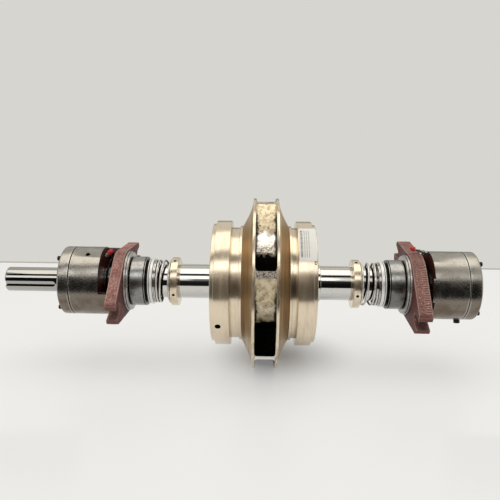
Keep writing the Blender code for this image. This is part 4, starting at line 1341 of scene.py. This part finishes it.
# what the polished metal sees: a dim room whose far wall brightens upwards, strip by strip
strips = {"far left": (-2.2, -0.80, (0.008, 0.008, 0.008, 0.008)),
          "left": (-0.80, -0.27, (0.012, 0.03, 0.10, 0.30)),
          "middle left": (-0.27, 0.02, (0.27, 0.42, 0.57, 0.78)),
          "middle right": (0.02, 0.40, (0.07, 0.14, 0.25, 0.42)),
          "right": (0.40, 2.2, (0.006, 0.010, 0.020, 0.040))}
for strip, (left, right, glows) in strips.items():
    for (low, high), glow in zip(((-60, 8), (8, 16), (16, 23), (23, 31)), glows):
        warm = 0.72 if strip.startswith("middle") else 0.97
        card(f"{strip} wall {low}", low, high, 2.4, left, right, (glow, glow * (1 + warm) / 2, glow * warm))
card("window", 34, 51, 2.2, -0.74, 0.76, (2.0, 1.98, 1.94))
card("low pane", 21, 34, 2.1, -0.80, -0.64, (1.1, 1.09, 1.06))
card("left pane", 31, 51, 2.2, -1.08, -0.74, (1.35, 1.34, 1.30))
card("far left pane", 28, 46, 2.2, -2.0, -1.10, (1.70, 1.69, 1.67))
card("right pane", 37, 51, 2.2, 0.76, 2.0, (1.0, 0.98, 0.94))
card("left beam", 56, 70, 2.0, -0.80, -0.24, (0.03, 0.03, 0.03))
card("right beam", 58, 71, 2.0, 0.34, 0.90, (0.01, 0.01, 0.01))
card("far left beam", 48, 67, 2.0, -1.6, -1.02, (0.005, 0.005, 0.005))
card("left apron", -28, -12, 0.27, -0.75, -0.205, (0.02, 0.02, 0.02))
card("right apron", -30, -12, 0.27, 0.29, 0.80, (0.02, 0.02, 0.02))
card("far shade", 2, 20, 2.6, -2.4, 2.4, (0.30, 0.29, 0.27), True)

world = bpy.data.worlds.new("studio")
bpy.context.scene.world = world
world.use_nodes = True
background = world.node_tree.nodes["Background"]
background.inputs["Color"].default_value = s["wall"]
background.inputs["Strength"].default_value = s["worldPower"]

lamp = bpy.data.lights.new("ceiling", "AREA")
lamp.shape, lamp.size, lamp.size_y = "RECTANGLE", *s["lamp"]
lamp.energy = s["power"]
lamp.color = (1.0, 0.95, 0.86)
light = bpy.data.objects.new("ceiling", lamp)
light.location = (0.0, 0.14, s["height"] + row["axisZ"])
light.rotation_euler = (0, 0, 0.22)
bpy.context.collection.objects.link(light)

# The camera stands a metre off, a little above the shaft
view = {"place": (0.0369, -0.9612, 0.3829), "yaw": -1.06, "pitch": -10.8, "roll": 0.60, "lens": 41.6}
yaw, pitch, roll = (math.radians(view[key]) for key in ("yaw", "pitch", "roll"))
ahead = Vector((math.sin(yaw) * math.cos(pitch), math.cos(yaw) * math.cos(pitch), math.sin(pitch)))
right = Vector((math.cos(yaw), -math.sin(yaw), 0))
up = right.cross(ahead)
rolledRight = right * math.cos(roll) + up * math.sin(roll)
rolledUp = up * math.cos(roll) - right * math.sin(roll)
cameraData = bpy.data.cameras.new("camera")
cameraData.lens, cameraData.sensor_width = view["lens"], 36.0
camera = bpy.data.objects.new("camera", cameraData)
camera.matrix_world = Matrix.Translation(view["place"]) @ Matrix(
    (rolledRight, rolledUp, -ahead)).transposed().to_4x4()
bpy.context.collection.objects.link(camera)
bpy.context.scene.camera = camera
bpy.context.scene.view_settings.view_transform = "Standard"
